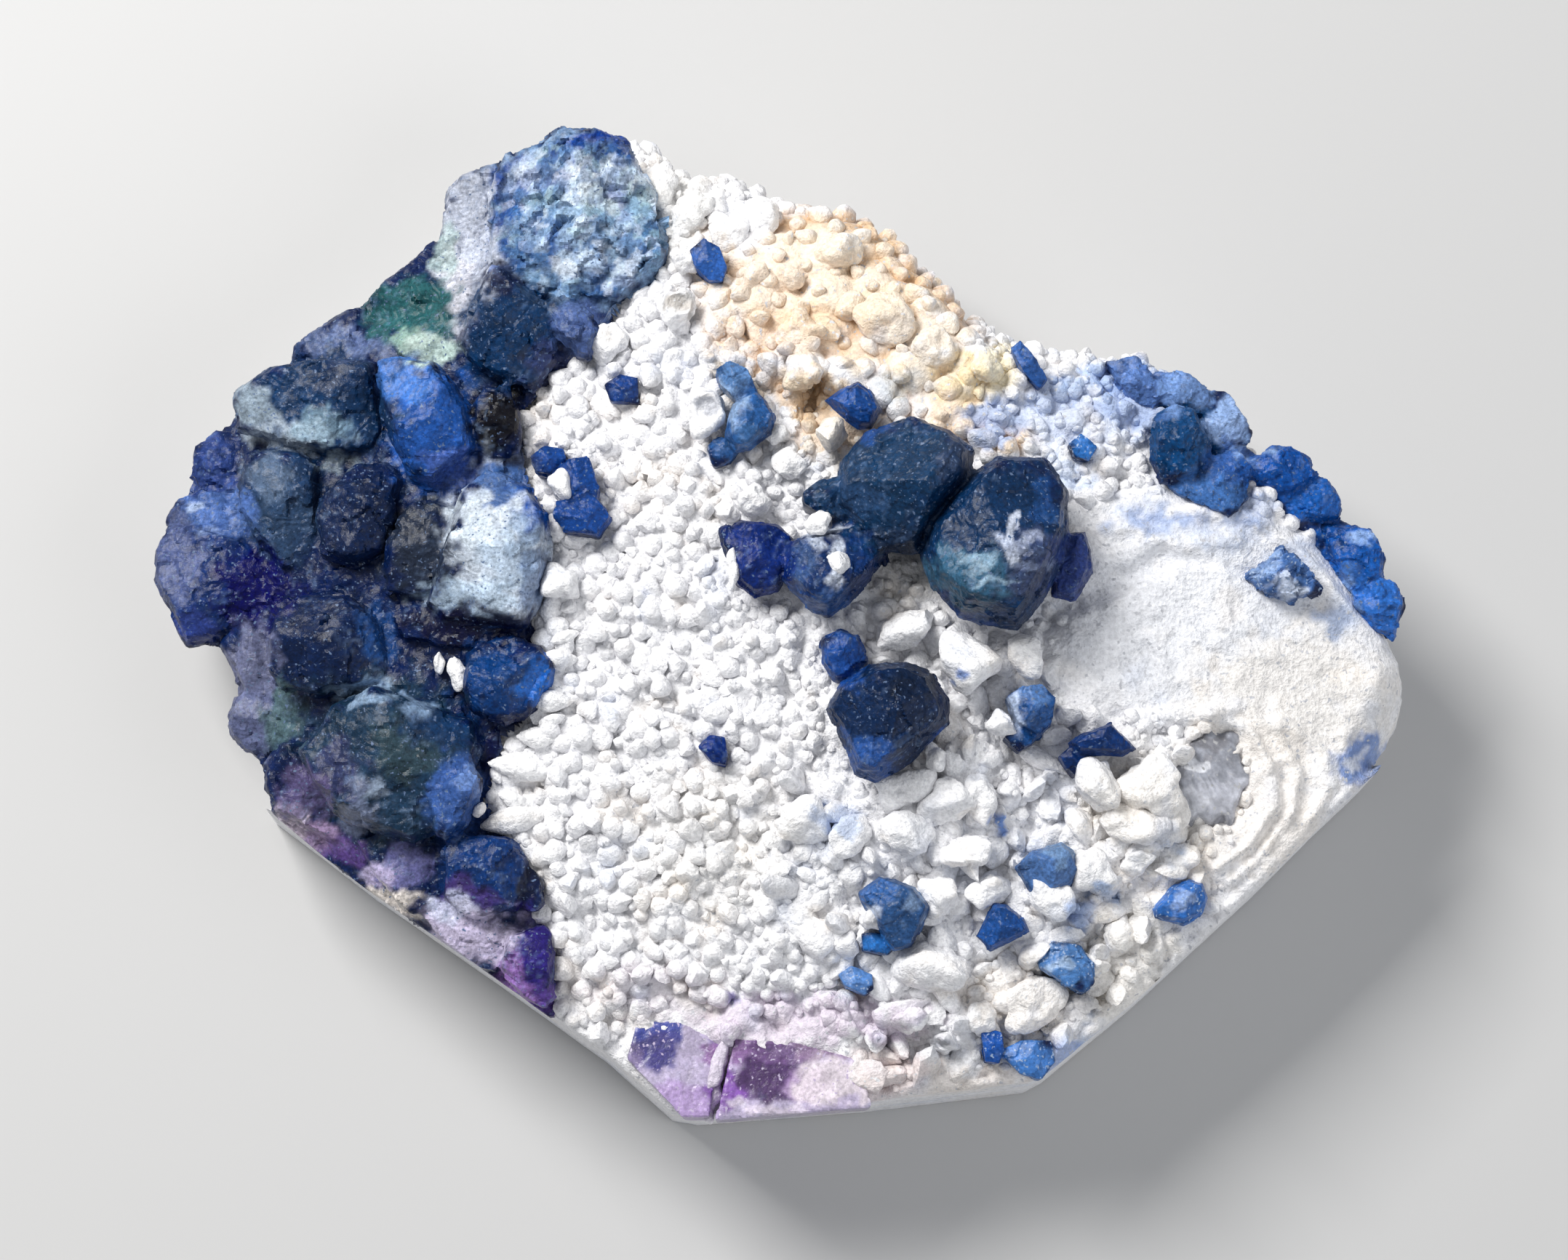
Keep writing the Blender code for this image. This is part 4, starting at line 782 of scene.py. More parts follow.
# Colours by place in the picture: middle, half width and half height in pixels, colour, how fully it covers.
# Some patches are painted light, as said where they stand.
FLUORITE_BASE = 0x202E52
FLUORITE_PATCHES = [
    (797, 300, 135, 125, 0x7C98C0, 1), (860, 300, 60, 60, 0x6991B9, 0.7), (775, 262, 50, 36, 0x96B2BE, 0.8),
    (828, 250, 70, 40, 0xD8DEE8, 0.9), (785, 352, 80, 40, 0xB0C2D4, 0.8), (735, 330, 40, 40, 0x3C5CA0, 0.8),
    (822, 202, 50, 26, 0x224094, 1), (700, 262, 24, 42, 0x304896, 0.9), (690, 335, 22, 40, 0x586CAC, 0.8),
    (735, 240, 30, 25, 0x96A5C8, 0.7), (645, 335, 42, 130, 0xACB2C2, 1), (628, 400, 22, 60, 0xC3C3CD, 0.8),
    (615, 345, 20, 35, 0x96ACAC, 0.7), (572, 425, 66, 42, 0x325862, 1), (560, 470, 25, 18, 0x96B4A5, 0.6),
    (592, 476, 40, 18, 0xACC0BA, 0.9), (468, 472, 55, 30, 0x5C6A94, 0.9), (410, 510, 40, 30, 0x3C487D, 0.7),
    (703, 455, 72, 80, 0x263A60, 1), (695, 385, 30, 25, 0x1A203E, 0.8), (745, 500, 30, 30, 0x3E426C, 0.6),
    (790, 455, 38, 42, 0x506298, 0.9), (600, 590, 66, 82, 0x3054A6, 1), (556, 528, 40, 34, 0x4876D0, 0.9),
    (625, 560, 35, 35, 0x284282, 0.6), (620, 640, 40, 25, 0x4E64B2, 0.7), (683, 576, 34, 46, 0x24222A, 1),
    (430, 560, 105, 78, 0x283A5E, 1), (400, 600, 66, 20, 0x9EAAB6, 0.7), (345, 565, 26, 30, 0x96A5B2, 0.7),
    (445, 588, 34, 26, 0x829EB4, 0.6), (470, 520, 50, 26, 0x283452, 0.7), (385, 700, 55, 85, 0x344462, 1),
    (360, 650, 30, 30, 0x5F708C, 0.6), (420, 655, 26, 30, 0x28385C, 0.6), (497, 705, 52, 74, 0x242E4A, 1),
    (455, 640, 30, 10, 0x8C9BA5, 0.5), (290, 640, 34, 44, 0x384886, 0.9), (295, 710, 50, 36, 0x5470B6, 0.9),
    (278, 700, 22, 10, 0xB0C2E2, 0.7), (300, 738, 30, 8, 0x96AAD4, 0.6), (290, 805, 90, 80, 0x283668, 1),
    (245, 770, 30, 60, 0x545E8A, 0.8), (356, 818, 58, 58, 0x0A1A5C, 1), (268, 860, 34, 24, 0x3A468C, 0.7),
    (585, 752, 48, 66, 0x323848, 1), (695, 745, 70, 110, 0xBAC4D2, 1), (690, 660, 40, 26, 0x34589C, 0.9),
    (725, 730, 22, 34, 0x6080AC, 0.6), (650, 720, 22, 40, 0xBCC8D2, 0.5), (700, 775, 40, 40, 0xA0B2C8, 0.7),
    (650, 820, 60, 26, 0xACC0D6, 0.7), (735, 800, 22, 40, 0x546E9E, 0.6),
    (640, 862, 80, 26, 0x1C243A, 0.95), (452, 890, 84, 74, 0x1E2E4C, 1), (520, 870, 22, 50, 0x304E8E, 0.6),
    (345, 925, 34, 66, 0x666A88, 0.9), (345, 995, 34, 46, 0x5E6486, 0.9), (392, 985, 26, 44, 0x566C72, 0.8),
    (530, 1045, 118, 110, 0x2C3C54, 1), (555, 1035, 44, 40, 0x3E4C50, 0.6),
    (500, 955, 34, 13, 0x8CA4C4, 0.8), (575, 975, 30, 12, 0x7E96BA, 0.8),
    (505, 1078, 28, 20, 0x8C9AB0, 0.7), (490, 1125, 26, 22, 0x78809C, 0.6),
    (600, 1000, 50, 20, 0x223A66, 0.6), (470, 1060, 30, 40, 0x3E3E64, 0.6), (690, 932, 52, 54, 0x223E76, 1),
    (745, 936, 24, 26, 0x2E5EB8, 0.95), (720, 895, 30, 14, 0x1E284A, 0.7), (630, 1100, 42, 62, 0x3E589A, 1),
    (648, 1072, 16, 22, 0x6882BE, 0.7), (700, 1080, 30, 90, 0x162246, 0.8),
    (670, 1195, 66, 56, 0x263A70, 1), (645, 1235, 40, 20, 0x543E78, 0.6), (728, 1225, 18, 28, 0x262A3E, 1),
    (735, 1310, 40, 60, 0x363074, 1), (750, 1372, 30, 26, 0x5E4892, 0.8),
    (650, 1290, 66, 44, 0xB8B0CA, 0.95), (620, 1250, 40, 16, 0xBEC4DC, 0.6),
    (705, 1355, 34, 34, 0x8E6CAC, 0.8), (420, 1150, 46, 34, 0x9682A4, 0.9),
    (398, 1118, 22, 26, 0xCEC2CE, 0.7), (470, 1172, 30, 24, 0x5A4682, 0.8),
    (520, 1200, 26, 22, 0xB6ACCE, 0.8), (565, 1190, 36, 30, 0x6E6EA2, 0.8),
    (540, 1240, 36, 22, 0xE2DAD2, 0.8), (415, 1085, 40, 34, 0x5C547A, 0.8),
    (1235, 675, 120, 112, 0x283C5E, 1), (1318, 640, 34, 44, 0x424C68, 0.7),
    (1180, 690, 40, 30, 0x3A507A, 0.5), (1250, 740, 50, 30, 0x2E3242, 0.6),
    (1370, 750, 110, 125, 0x26385C, 1), (1332, 792, 62, 36, 0x406484, 0.75),
    (1345, 775, 22, 12, 0x8CA8C0, 0.6), (1398, 742, 9, 40, 0xC4CCDE, 0.9),
    (1402, 745, 28, 10, 0xB4BED6, 0.8), (1415, 770, 24, 8, 0x96A4C4, 0.7),
    (1372, 800, 40, 5, 0x96B0C6, 0.7), (1424, 775, 26, 50, 0x4A5276, 0.5),
    (1440, 690, 16, 34, 0x305296, 0.5), (1300, 850, 60, 20, 0x2C4284, 0.6),
    (1476, 776, 34, 50, 0x384684, 1), (1140, 792, 68, 62, 0x283868, 1), (1138, 832, 50, 24, 0x3E5A98, 0.8),
    # From here to the end of the list, the small pale patches laid on the small crystals are painted
    # highlights
    (1150, 770, 12, 34, 0xCED6E4, 0.8), (1122, 742, 20, 12, 0xC4CEE0, 0.7),
    (1100, 775, 20, 30, 0x4A6296, 0.5), (1044, 770, 46, 58, 0x223476, 1), (1220, 985, 92, 92, 0x203252, 1),
    (1192, 1046, 44, 34, 0x325096, 0.8), (1252, 940, 40, 26, 0x2C303C, 0.6),
    (1158, 902, 36, 40, 0x2C4A94, 1), (1312, 1044, 42, 44, 0x2C4A94, 1), (1015, 565, 60, 80, 0x345898, 1),
    (1015, 515, 30, 22, 0x5C7EB4, 0.7), (1000, 560, 26, 30, 0x96B0D6, 0.7),
    (1030, 600, 20, 24, 0x4A70AC, 0.7), (1176, 560, 46, 40, 0x2C4E9A, 1), (974, 360, 30, 34, 0x385CAC, 1),
    (857, 536, 28, 26, 0x2A4080, 1), (790, 675, 70, 70, 0x2A468E, 1), (980, 1032, 26, 26, 0x1C3880, 1),
    (1418, 985, 44, 54, 0x2E4E8C, 1), (1398, 990, 16, 26, 0xB4C2DA, 0.7),
    (1425, 955, 22, 12, 0x6080BA, 0.6), (1510, 1025, 62, 46, 0x263A72, 1),
    (1440, 1195, 52, 46, 0x4E6CA6, 1), (1450, 1172, 26, 14, 0x7A98C4, 0.7),
    (1230, 1255, 58, 64, 0x385488, 1), (1206, 1226, 24, 18, 0x3E62A8, 0.7),
    (1258, 1240, 12, 26, 0x8CA4C8, 0.6), (1185, 1262, 20, 14, 0xC4CEE0, 0.7),
    (1206, 1298, 30, 18, 0x366CBE, 1), (1380, 1276, 44, 40, 0x2E5098, 1), (1465, 1328, 46, 40, 0x4E76B6, 1),
    (1458, 1330, 20, 12, 0xAABED6, 0.6), (1626, 1242, 42, 36, 0x3C6CC2, 1),
    (1630, 1240, 10, 14, 0xA0B4DC, 0.6), (1178, 1348, 28, 24, 0x5C84CA, 1),
    (1363, 1440, 20, 30, 0x2C54AC, 1), (1415, 1458, 42, 34, 0x4C7CCE, 1), (1489, 616, 22, 22, 0x3E74CA, 1),
    (1765, 790, 52, 44, 0x4A6AAA, 1), (1772, 808, 24, 16, 0xCED8EA, 0.8),
    (1740, 778, 16, 20, 0x96AED6, 0.6), (1412, 500, 30, 40, 0x38589E, 1), (1630, 600, 60, 60, 0x22467A, 1),
    (1570, 528, 56, 34, 0x5C7ABE, 0.9), (1625, 535, 40, 26, 0x708ECA, 0.9),
    (1688, 572, 30, 34, 0x8CA6D8, 0.9), (1690, 640, 34, 34, 0x3A5AA2, 0.9),
    (1660, 685, 60, 26, 0x466CB2, 0.9), (1730, 620, 34, 20, 0x7E9ACE, 0.8),
    (1762, 648, 54, 36, 0x264EA0, 1), (1812, 690, 40, 34, 0x2A56AA, 1), (1866, 768, 46, 50, 0x2854AA, 1),
    (1848, 800, 24, 20, 0x5478BE, 0.7), (1870, 745, 24, 12, 0x96B2E0, 0.6),
    (1858, 820, 18, 26, 0x84A2D6, 0.6), (1902, 838, 34, 48, 0x3666C0, 1),
]
VIOLET_BASE = 0xB2A8C4
VIOLET_PATCHES = [
    (892, 1416, 44, 34, 0x404894, 1), (905, 1446, 36, 28, 0x464280, 1), (862, 1464, 16, 26, 0x70648E, 0.8),
    (942, 1522, 52, 26, 0xA488BE, 0.7), (1010, 1448, 40, 24, 0x866698, 1),
    (1000, 1505, 28, 32, 0x7A52A0, 1), (1064, 1478, 50, 30, 0x4C3860, 1),
    (1088, 1446, 54, 14, 0x684E7C, 0.9), (1156, 1446, 54, 12, 0x8E7896, 0.8),
    (1112, 1490, 34, 22, 0xAA8CBE, 0.7), (1150, 1490, 56, 34, 0xD8CED4, 0.8),
    (1060, 1522, 60, 10, 0xCEC4D4, 0.8),
]
ROCK_BASE = 0xF3F3F6
LUMP_BASE = 0xFAFAFC
ROCK_PATCHES = [
    (1130, 390, 150, 70, 0xF0D8BC, 0.75), (1220, 445, 100, 70, 0xF2E0C8, 0.7),
    (1080, 455, 110, 40, 0xEACEAE, 0.6), (1150, 330, 90, 36, 0xF4E6D2, 0.6),
    (1330, 560, 70, 34, 0xEED0AC, 0.7), (1390, 612, 40, 16, 0xEED2AE, 0.7),
    (1110, 545, 50, 36, 0xE8CA9C, 0.7), (1150, 600, 46, 44, 0xE8DECE, 0.7),
    (1030, 520, 40, 24, 0xCEB896, 0.6), (1360, 512, 44, 34, 0xF6E8C4, 0.8),
    (1290, 520, 60, 34, 0xEED8B0, 0.7), (1240, 530, 40, 24, 0xA0B0BE, 0.4),
    (1370, 575, 50, 40, 0x9EB6E0, 0.8), (1500, 570, 110, 56, 0xC4D0E8, 0.7),
    (1440, 545, 34, 20, 0xB0C0E0, 0.6), (1530, 525, 60, 26, 0x9EB8E2, 0.7),
    (1465, 650, 34, 22, 0xB6C8E6, 0.7), (1600, 715, 70, 26, 0x7898D0, 0.7),
    (1675, 745, 60, 18, 0xA0B8E2, 0.6), (1725, 700, 44, 30, 0x7898D0, 0.7),
    (1800, 760, 50, 26, 0xA8BEE4, 0.6), (1560, 565, 60, 40, 0x8CA8DA, 0.6),
    (1850, 840, 24, 44, 0xA8BEE4, 0.5), (1640, 850, 200, 120, 0xE8EAF0, 0.8),
    (1780, 960, 130, 90, 0xF0ECE8, 0.8), (1720, 1100, 100, 100, 0xF2ECE6, 0.7),
    (1878, 1046, 42, 36, 0x547CC0, 0.85), (1868, 1050, 12, 10, 0xE2E6F0, 0.8),
    # Painted light: the near-white patch over the blocky druse offsets the shade between its blocks, and the
    # one at (1590, 1110) lights the top of the cream lumps
    (1330, 1180, 270, 250, 0xF8F8FB, 0.6), (1590, 1110, 80, 80, 0xFEFCFA, 0.9),
    # The grey patches on this line and the next sit in the pits of the hollow lumps: painted shade
    (1206, 1425, 13, 12, 0x787A84, 0.9), (1300, 1434, 16, 12, 0x8C8E96, 0.8),
    (972, 566, 15, 16, 0xB8BBC4, 0.8), (935, 420, 16, 13, 0xAAA8A6, 0.8),
    (1836, 858, 26, 20, 0xA4B2CE, 0.9), (1608, 1158, 24, 24, 0xB0C2E0, 0.8),
    (1515, 1228, 16, 14, 0xA0BAE2, 0.8), (1480, 1256, 26, 22, 0x92ACDA, 0.8),
    (1150, 1130, 34, 20, 0xA8BEE4, 0.6), (1380, 1135, 11, 10, 0x6C96DE, 0.9),
    (1328, 930, 9, 9, 0x5C82C8, 0.9), (1490, 1410, 30, 40, 0xB0C4E4, 0.7),
    # The cream patch at (1560, 1120) is the lumps' own cream, made lighter as painted light
    (1462, 1452, 30, 26, 0x6E92D4, 0.7), (1560, 1120, 90, 60, 0xF8F4F0, 0.8),
    (1430, 1370, 90, 60, 0xF6F0EA, 0.7), (1560, 1330, 60, 90, 0xF4F0EA, 0.7),
    (1300, 1490, 120, 30, 0xF0E8E2, 0.8), (1100, 1400, 170, 34, 0xD4C6D8, 0.7),
    (985, 1485, 24, 70, 0xD6CCDE, 0.9), (900, 1360, 90, 40, 0xDED6DE, 0.5),
    (1220, 1480, 60, 40, 0xE4D6D8, 0.6), (980, 1160, 110, 90, 0xF2EFEA, 0.4),
    (900, 300, 90, 70, 0xECEAE6, 0.6), (1240, 800, 60, 30, 0xB0ACA6, 0.5),
    (430, 1170, 60, 40, 0xD6C8CC, 0.8), (600, 1300, 120, 60, 0xE6DED6, 0.8),
    (1770, 700, 70, 22, 0xDEE2EC, 0.6), (1600, 515, 80, 26, 0x96B0DE, 0.6),
    (1010, 1375, 14, 12, 0x5C54A0, 0.7), (1192, 1262, 20, 22, 0xEAEAEC, 0.8),
]
# The faint tinges of white quartz, the pale flecks on fluorite, which are partly frost and partly painted
# glints, and the iron stain
WARM_TINGE = 0xEEE0CE
COOL_TINGE = 0xBAC8E4
FROST_AND_GLINT = 0x8CA8D6
TAN = 0xCCA06C
# Hues of the broken crystal's cleavage chips
CHIPS = [0x2E5498, 0x1E3E82, 0x809EC4, 0xCED6E2, 0x6284AC, 0x96B0B8, 0x466EA8, 0xACBED2]
# Outline of the weaker stain below the stained part
STAIN_TAIL = [(1060, 500), (1130, 500), (1150, 560), (1240, 560), (1400, 600), (1400, 640), (1290, 590),
              (1160, 640), (1090, 610)]
# Pieces whose hollows hold the tan stain
STAINED_PIECES = ("quartz_rock", "stained_druse", "quartz_lumps", "fine_druse_left", "fine_druse_right")


def over(colour, hue, share):
    """A colour laid over others, as far as each point's share says."""
    return colour * (1 - share[:, None]) + hue * share[:, None]


def down_the_side(points, seed):
    """1 on the rock's top, going to 0 a little way down its sides, where the stains end."""
    depth = rock_height(points[:, 0], points[:, 1]) - points[:, 2] + 1.2 * noise(points, 1.6, seed + 16)
    by_saw = 1 - smooth_step(0.45, 0.9, line_distance(points, SAWN_LINE))
    return by_saw * (1 - smooth_step(0.8, 3.2, depth)) + (1 - by_saw) * (1 - smooth_step(3.4, 6.4, depth))


def cleavage_chips(colour, points, pixels, grains, seed, sheen):
    """The broken crystal's chips, large ones and small ones between them."""
    middle, size = BROKEN_CRYSTAL
    away = np.hypot(*((pixels - middle) / (np.array(size) - 2)).T)
    share = (1 - smooth_step(0.86, 1.0, away + 0.08 * grains)) * 0.7
    bent = points + bend(points, 0.35, 0.8, seed + 20)
    hues = np.array([plain(chip, sheen) for chip in CHIPS])
    for chip_size in (1.5, 0.7):
        value = cells_noise(bent * np.array([1.0, 1.0, 0.5]), chip_size, seed + 24)[2]
        colour = over(colour, hues[np.minimum((value * len(hues)).astype(int), len(hues) - 1)], 0.6 * share)
    return colour


def paint(piece, base, patches, seed=ROCK_PAINT, spots=0.0, edge=0.35, sheen=0.0, flecks=0.0, tinge=0.0):
    """Stores each point's colour: a base, patches whose rims wander (a few carry painted highlights and
    painted shade), chips, tinges, flecks that are partly painted glints, and stain.
    """
    points = coordinates(piece.data)
    pixels = shows_at(points)
    drift = np.stack([noise(points, 1.3, seed), noise(points, 1.3, seed + 1)], axis=1) * 16
    drift += np.stack([noise(points, 0.5, seed + 2), noise(points, 0.5, seed + 3)], axis=1) * 7
    wandering = pixels + drift
    grains = 0.5 * noise(points, 0.42, seed + 8) + 0.3 * noise(points, 0.85, seed + 9)
    colour = np.tile(plain(base, sheen), (len(points), 1))
    reach = down_the_side(points, seed) if piece.name == "quartz_rock" else 1.0
    for px, py, wide, tall, hue, strength in patches:
        away = np.hypot((wandering[:, 0] - px) / wide, (wandering[:, 1] - py) / tall)
        colour = over(colour, plain(hue, sheen),
                      smooth_step(-0.25, 0.25, 1 - away + edge * 1.6 * grains) * strength * reach)
    if piece.name == "crust_of_dark_fluorite":
        colour = cleavage_chips(colour, points, pixels, grains, seed, sheen)
    if spots:
        shade = 1 + spots * noise(points, 0.9, seed + 5) + spots * 0.6 * noise(points, 0.35, seed + 6)
        colour = colour * shade[:, None]
    if tinge:
        warmth = noise(points, 2.0, seed + 31) + 0.5 * noise(points, 0.8, seed + 32)
        colour = colour * (1 - tinge * 0.3 * cells_noise(points, 1.1, seed + 33)[2])[:, None]
        for side, hue in ((warmth, WARM_TINGE), (-warmth, COOL_TINGE)):
            colour = over(colour, plain(hue), tinge * smooth_step(0.3, 0.9, side))
    # Pale flecks: partly a frosting on the fluorite, partly painted glints
    if flecks:
        groups = smooth_step(-0.25, 0.55, noise(points, 1.9, seed + 14))
        fleck_and_glint_lines = 1 - smooth_step(0.0, 0.22, np.abs(noise(points, 0.85, seed + 15)))
        share = smooth_step(0.3, 0.8, noise(points, 0.26, seed + 13) + 0.4 * fleck_and_glint_lines) * groups * flecks
        colour = over(colour, 0.6 * colour + 0.4 * plain(FROST_AND_GLINT), share)
    if sheen:
        blue = np.clip((colour[:, 2] - colour[:, 0]) / colour[:, 2], 0, 1) ** 2
        colour[:, 2] *= 1 - 0.18 * blue
    if piece.name in STAINED_PIECES:
        depth = points[:, 2] - rock_height(points[:, 0], points[:, 1])
        stain = inside_share(STAINED, wandering, 50) * (1 - smooth_step(-0.8, 0.25, depth + 0.3 * grains))
        stain += 0.55 * inside_share(STAIN_TAIL, wandering, 30) * (1 - smooth_step(-0.6, 0.6, depth))
        colour = over(colour, plain(TAN), np.clip(0.75 * stain * reach, 0, 0.7))
    layer = piece.data.color_attributes.new("tint", "FLOAT_COLOR", "POINT")
    rgba = np.ones((len(points), 4))
    rgba[:, :3] = np.clip(colour, 0, 1)
    layer.data.foreach_set("color", rgba.ravel())


def grit_group():
    """Speckle, roughness and fine relief of a stone surface over its painted colour."""
    group = bpy.data.node_groups.new("stone_grit", "ShaderNodeTree")
    face = group.interface
    for name, kind, value in (("Colour", "Color", (0.8, 0.8, 0.8, 1.0)), ("Grain", "Float", 2500.0),
                              ("Speckle", "Float", 0.15), ("Roughness", "Float", 0.7),
                              ("Spread", "Float", 0.1), ("Specks", "Color", (0.5, 0.5, 0.5, 1.0)),
                              ("Speck Share", "Float", 0.1), ("Terraces", "Float", 0.0)):
        face.new_socket(name, in_out="INPUT", socket_type="NodeSocket" + kind).default_value = value
    for name, kind in (("Colour", "Color"), ("Roughness", "Float"), ("Height", "Float")):
        face.new_socket(name, in_out="OUTPUT", socket_type="NodeSocket" + kind)
    given = new_node(group, "NodeGroupInput").outputs
    where = new_node(group, "ShaderNodeTexCoord").outputs["Object"]

    def maths(operation, *values):
        """A sum on sockets or numbers."""
        return new_node(group, "ShaderNodeMath", enumerate(values), operation=operation).outputs[0]

    def clouds(scale, detail):
        """Soft noise, so many times as fine as the grain."""
        size = maths("MULTIPLY", given["Grain"], scale)
        return new_node(group, "ShaderNodeTexNoise", {"Vector": where, "Scale": size, "Detail": detail,
                                                      "Roughness": 0.6}).outputs["Fac"]

    fine, coarse = clouds(1.0, 3.0), clouds(0.28, 2.0)
    lift = maths("MULTIPLY", maths("SUBTRACT", fine, 0.5), given["Speckle"])
    shade = maths("MULTIPLY_ADD", lift, 4.0, 1.0)
    scaled = new_node(group, "ShaderNodeVectorMath", {0: given["Colour"], "Scale": shade}, operation="SCALE")
    rise = {edge: maths("MULTIPLY_ADD", given["Speck Share"], -0.45, level)
            for edge, level in (("From Min", 0.66), ("From Max", 0.74))}
    specks = new_node(group, "ShaderNodeMapRange", {"Value": clouds(0.8, 1.0), **rise})
    mixed = new_node(group, "ShaderNodeMix", {}, data_type="RGBA")
    for number, socket in ((0, specks.outputs["Result"]), (6, scaled.outputs[0]), (7, given["Specks"])):
        group.links.new(socket, mixed.inputs[number])
    bands = maths("PINGPONG", maths("MULTIPLY", clouds(0.085, 2.0), 15.0), 1.0)
    rough = maths("MULTIPLY_ADD", coarse, 0.6, fine)
    uneven = maths("SUBTRACT", coarse, 0.5)
    new_node(group, "NodeGroupOutput",
             {"Colour": mixed.outputs[2],
              "Roughness": maths("MULTIPLY_ADD", uneven, given["Spread"], given["Roughness"]),
              "Height": maths("MULTIPLY_ADD", bands, given["Terraces"], rough)})
    return group


def stone_material(name, grit, values, relief, subsurface, specular, coat, ior):
    """A stone look over the painted colour: values for the shared grit, its bump in millimetres, the gloss."""
    made = bpy.data.materials.new(name)
    made.use_nodes = True
    tree = made.node_tree
    shader = tree.nodes["Principled BSDF"]
    tint = new_node(tree, "ShaderNodeVertexColor", layer_name="tint")
    use = new_node(tree, "ShaderNodeGroup", node_tree=grit)
    for key, value in zip(GRIT_INPUTS, values):
        use.inputs[key].default_value = value
    tree.links.new(tint.outputs["Color"], use.inputs["Colour"])
    bump = new_node(tree, "ShaderNodeBump",
                    {"Distance": relief * MM, "Strength": 0.8, "Height": use.outputs["Height"]})
    for key, socket in (("Base Color", use.outputs["Colour"]), ("Roughness", use.outputs["Roughness"]),
                        ("Normal", bump.outputs["Normal"])):
        tree.links.new(socket, shader.inputs[key])
    for key, value in (("Specular IOR Level", specular), ("IOR", ior), ("Coat Weight", coat),
                       ("Coat Roughness", 0.25), ("Subsurface Weight", subsurface),
                       ("Subsurface Radius", (1.0, 1.0, 1.0)), ("Subsurface Scale", 0.6 * MM)):
        shader.inputs[key].default_value = value
    return made


def make_window():
    """The grey glassy quartz patch in the chalky part: a low dome with ribs that fan out from one side."""
    wx, wy, wide, tall = WINDOW
    mesh = bmesh.new()
    rings, spokes = 40, 120
    middle = mesh.verts.new((0, 0, 0))
    rows, places = [], [(0.0, 0.0)]
    for ring in range(1, rings + 1):
        row = []
        for spoke in range(spokes):
            angle = spoke / spokes * 2 * math.pi
            places.append((math.cos(angle) * ring / rings, math.sin(angle) * ring / rings))
            row.append(mesh.verts.new((0, 0, 0)))
        rows.append(row)
    for spoke in range(spokes):
        after = (spoke + 1) % spokes
        mesh.faces.new((middle, rows[0][after], rows[0][spoke]))
        for inner, outer in zip(rows, rows[1:]):
            mesh.faces.new((inner[spoke], inner[after], outer[after], outer[spoke]))
    places = np.array(places)
    reach = np.hypot(places[:, 0], places[:, 1])
    fan = np.arctan2(places[:, 1] + 1.5, places[:, 0] + 1.2)
    away = np.hypot(places[:, 1] + 1.5, places[:, 0] + 1.2)
    lines = np.stack([fan * 9.0, away * 0.7, np.zeros(len(fan))], axis=1)
    ragged = reach + 0.16 * noise(np.stack([places[:, 0] * 2, places[:, 1] * 2, 0 * reach], axis=1), 0.5, 9)
    height = (0.25 - 0.9 * smooth_step(0.74, 1.0, ragged)
              + 0.16 * noise(lines, 0.5, 3) + 0.05 * noise(lines, 0.2, 4)
              + 0.10 * noise(np.stack([places[:, 0] * 2, places[:, 1] * 2, reach], axis=1), 0.6, 5))
    for vert, (x, y), lift in zip([middle] + [v for row in rows for v in row], places, height):
        vert.co = on_rock(wx + x * wide * 1.04, wy + y * tall * 1.04, lift - 0.25) * MM
    bmesh.ops.recalc_face_normals(mesh, faces=mesh.faces)
    if middle.normal.z < 0 or middle.link_faces[0].normal.z < 0:
        bmesh.ops.reverse_faces(mesh, faces=mesh.faces)
    return smooth(shown("quartz_window", finished(mesh, "quartz_window")))


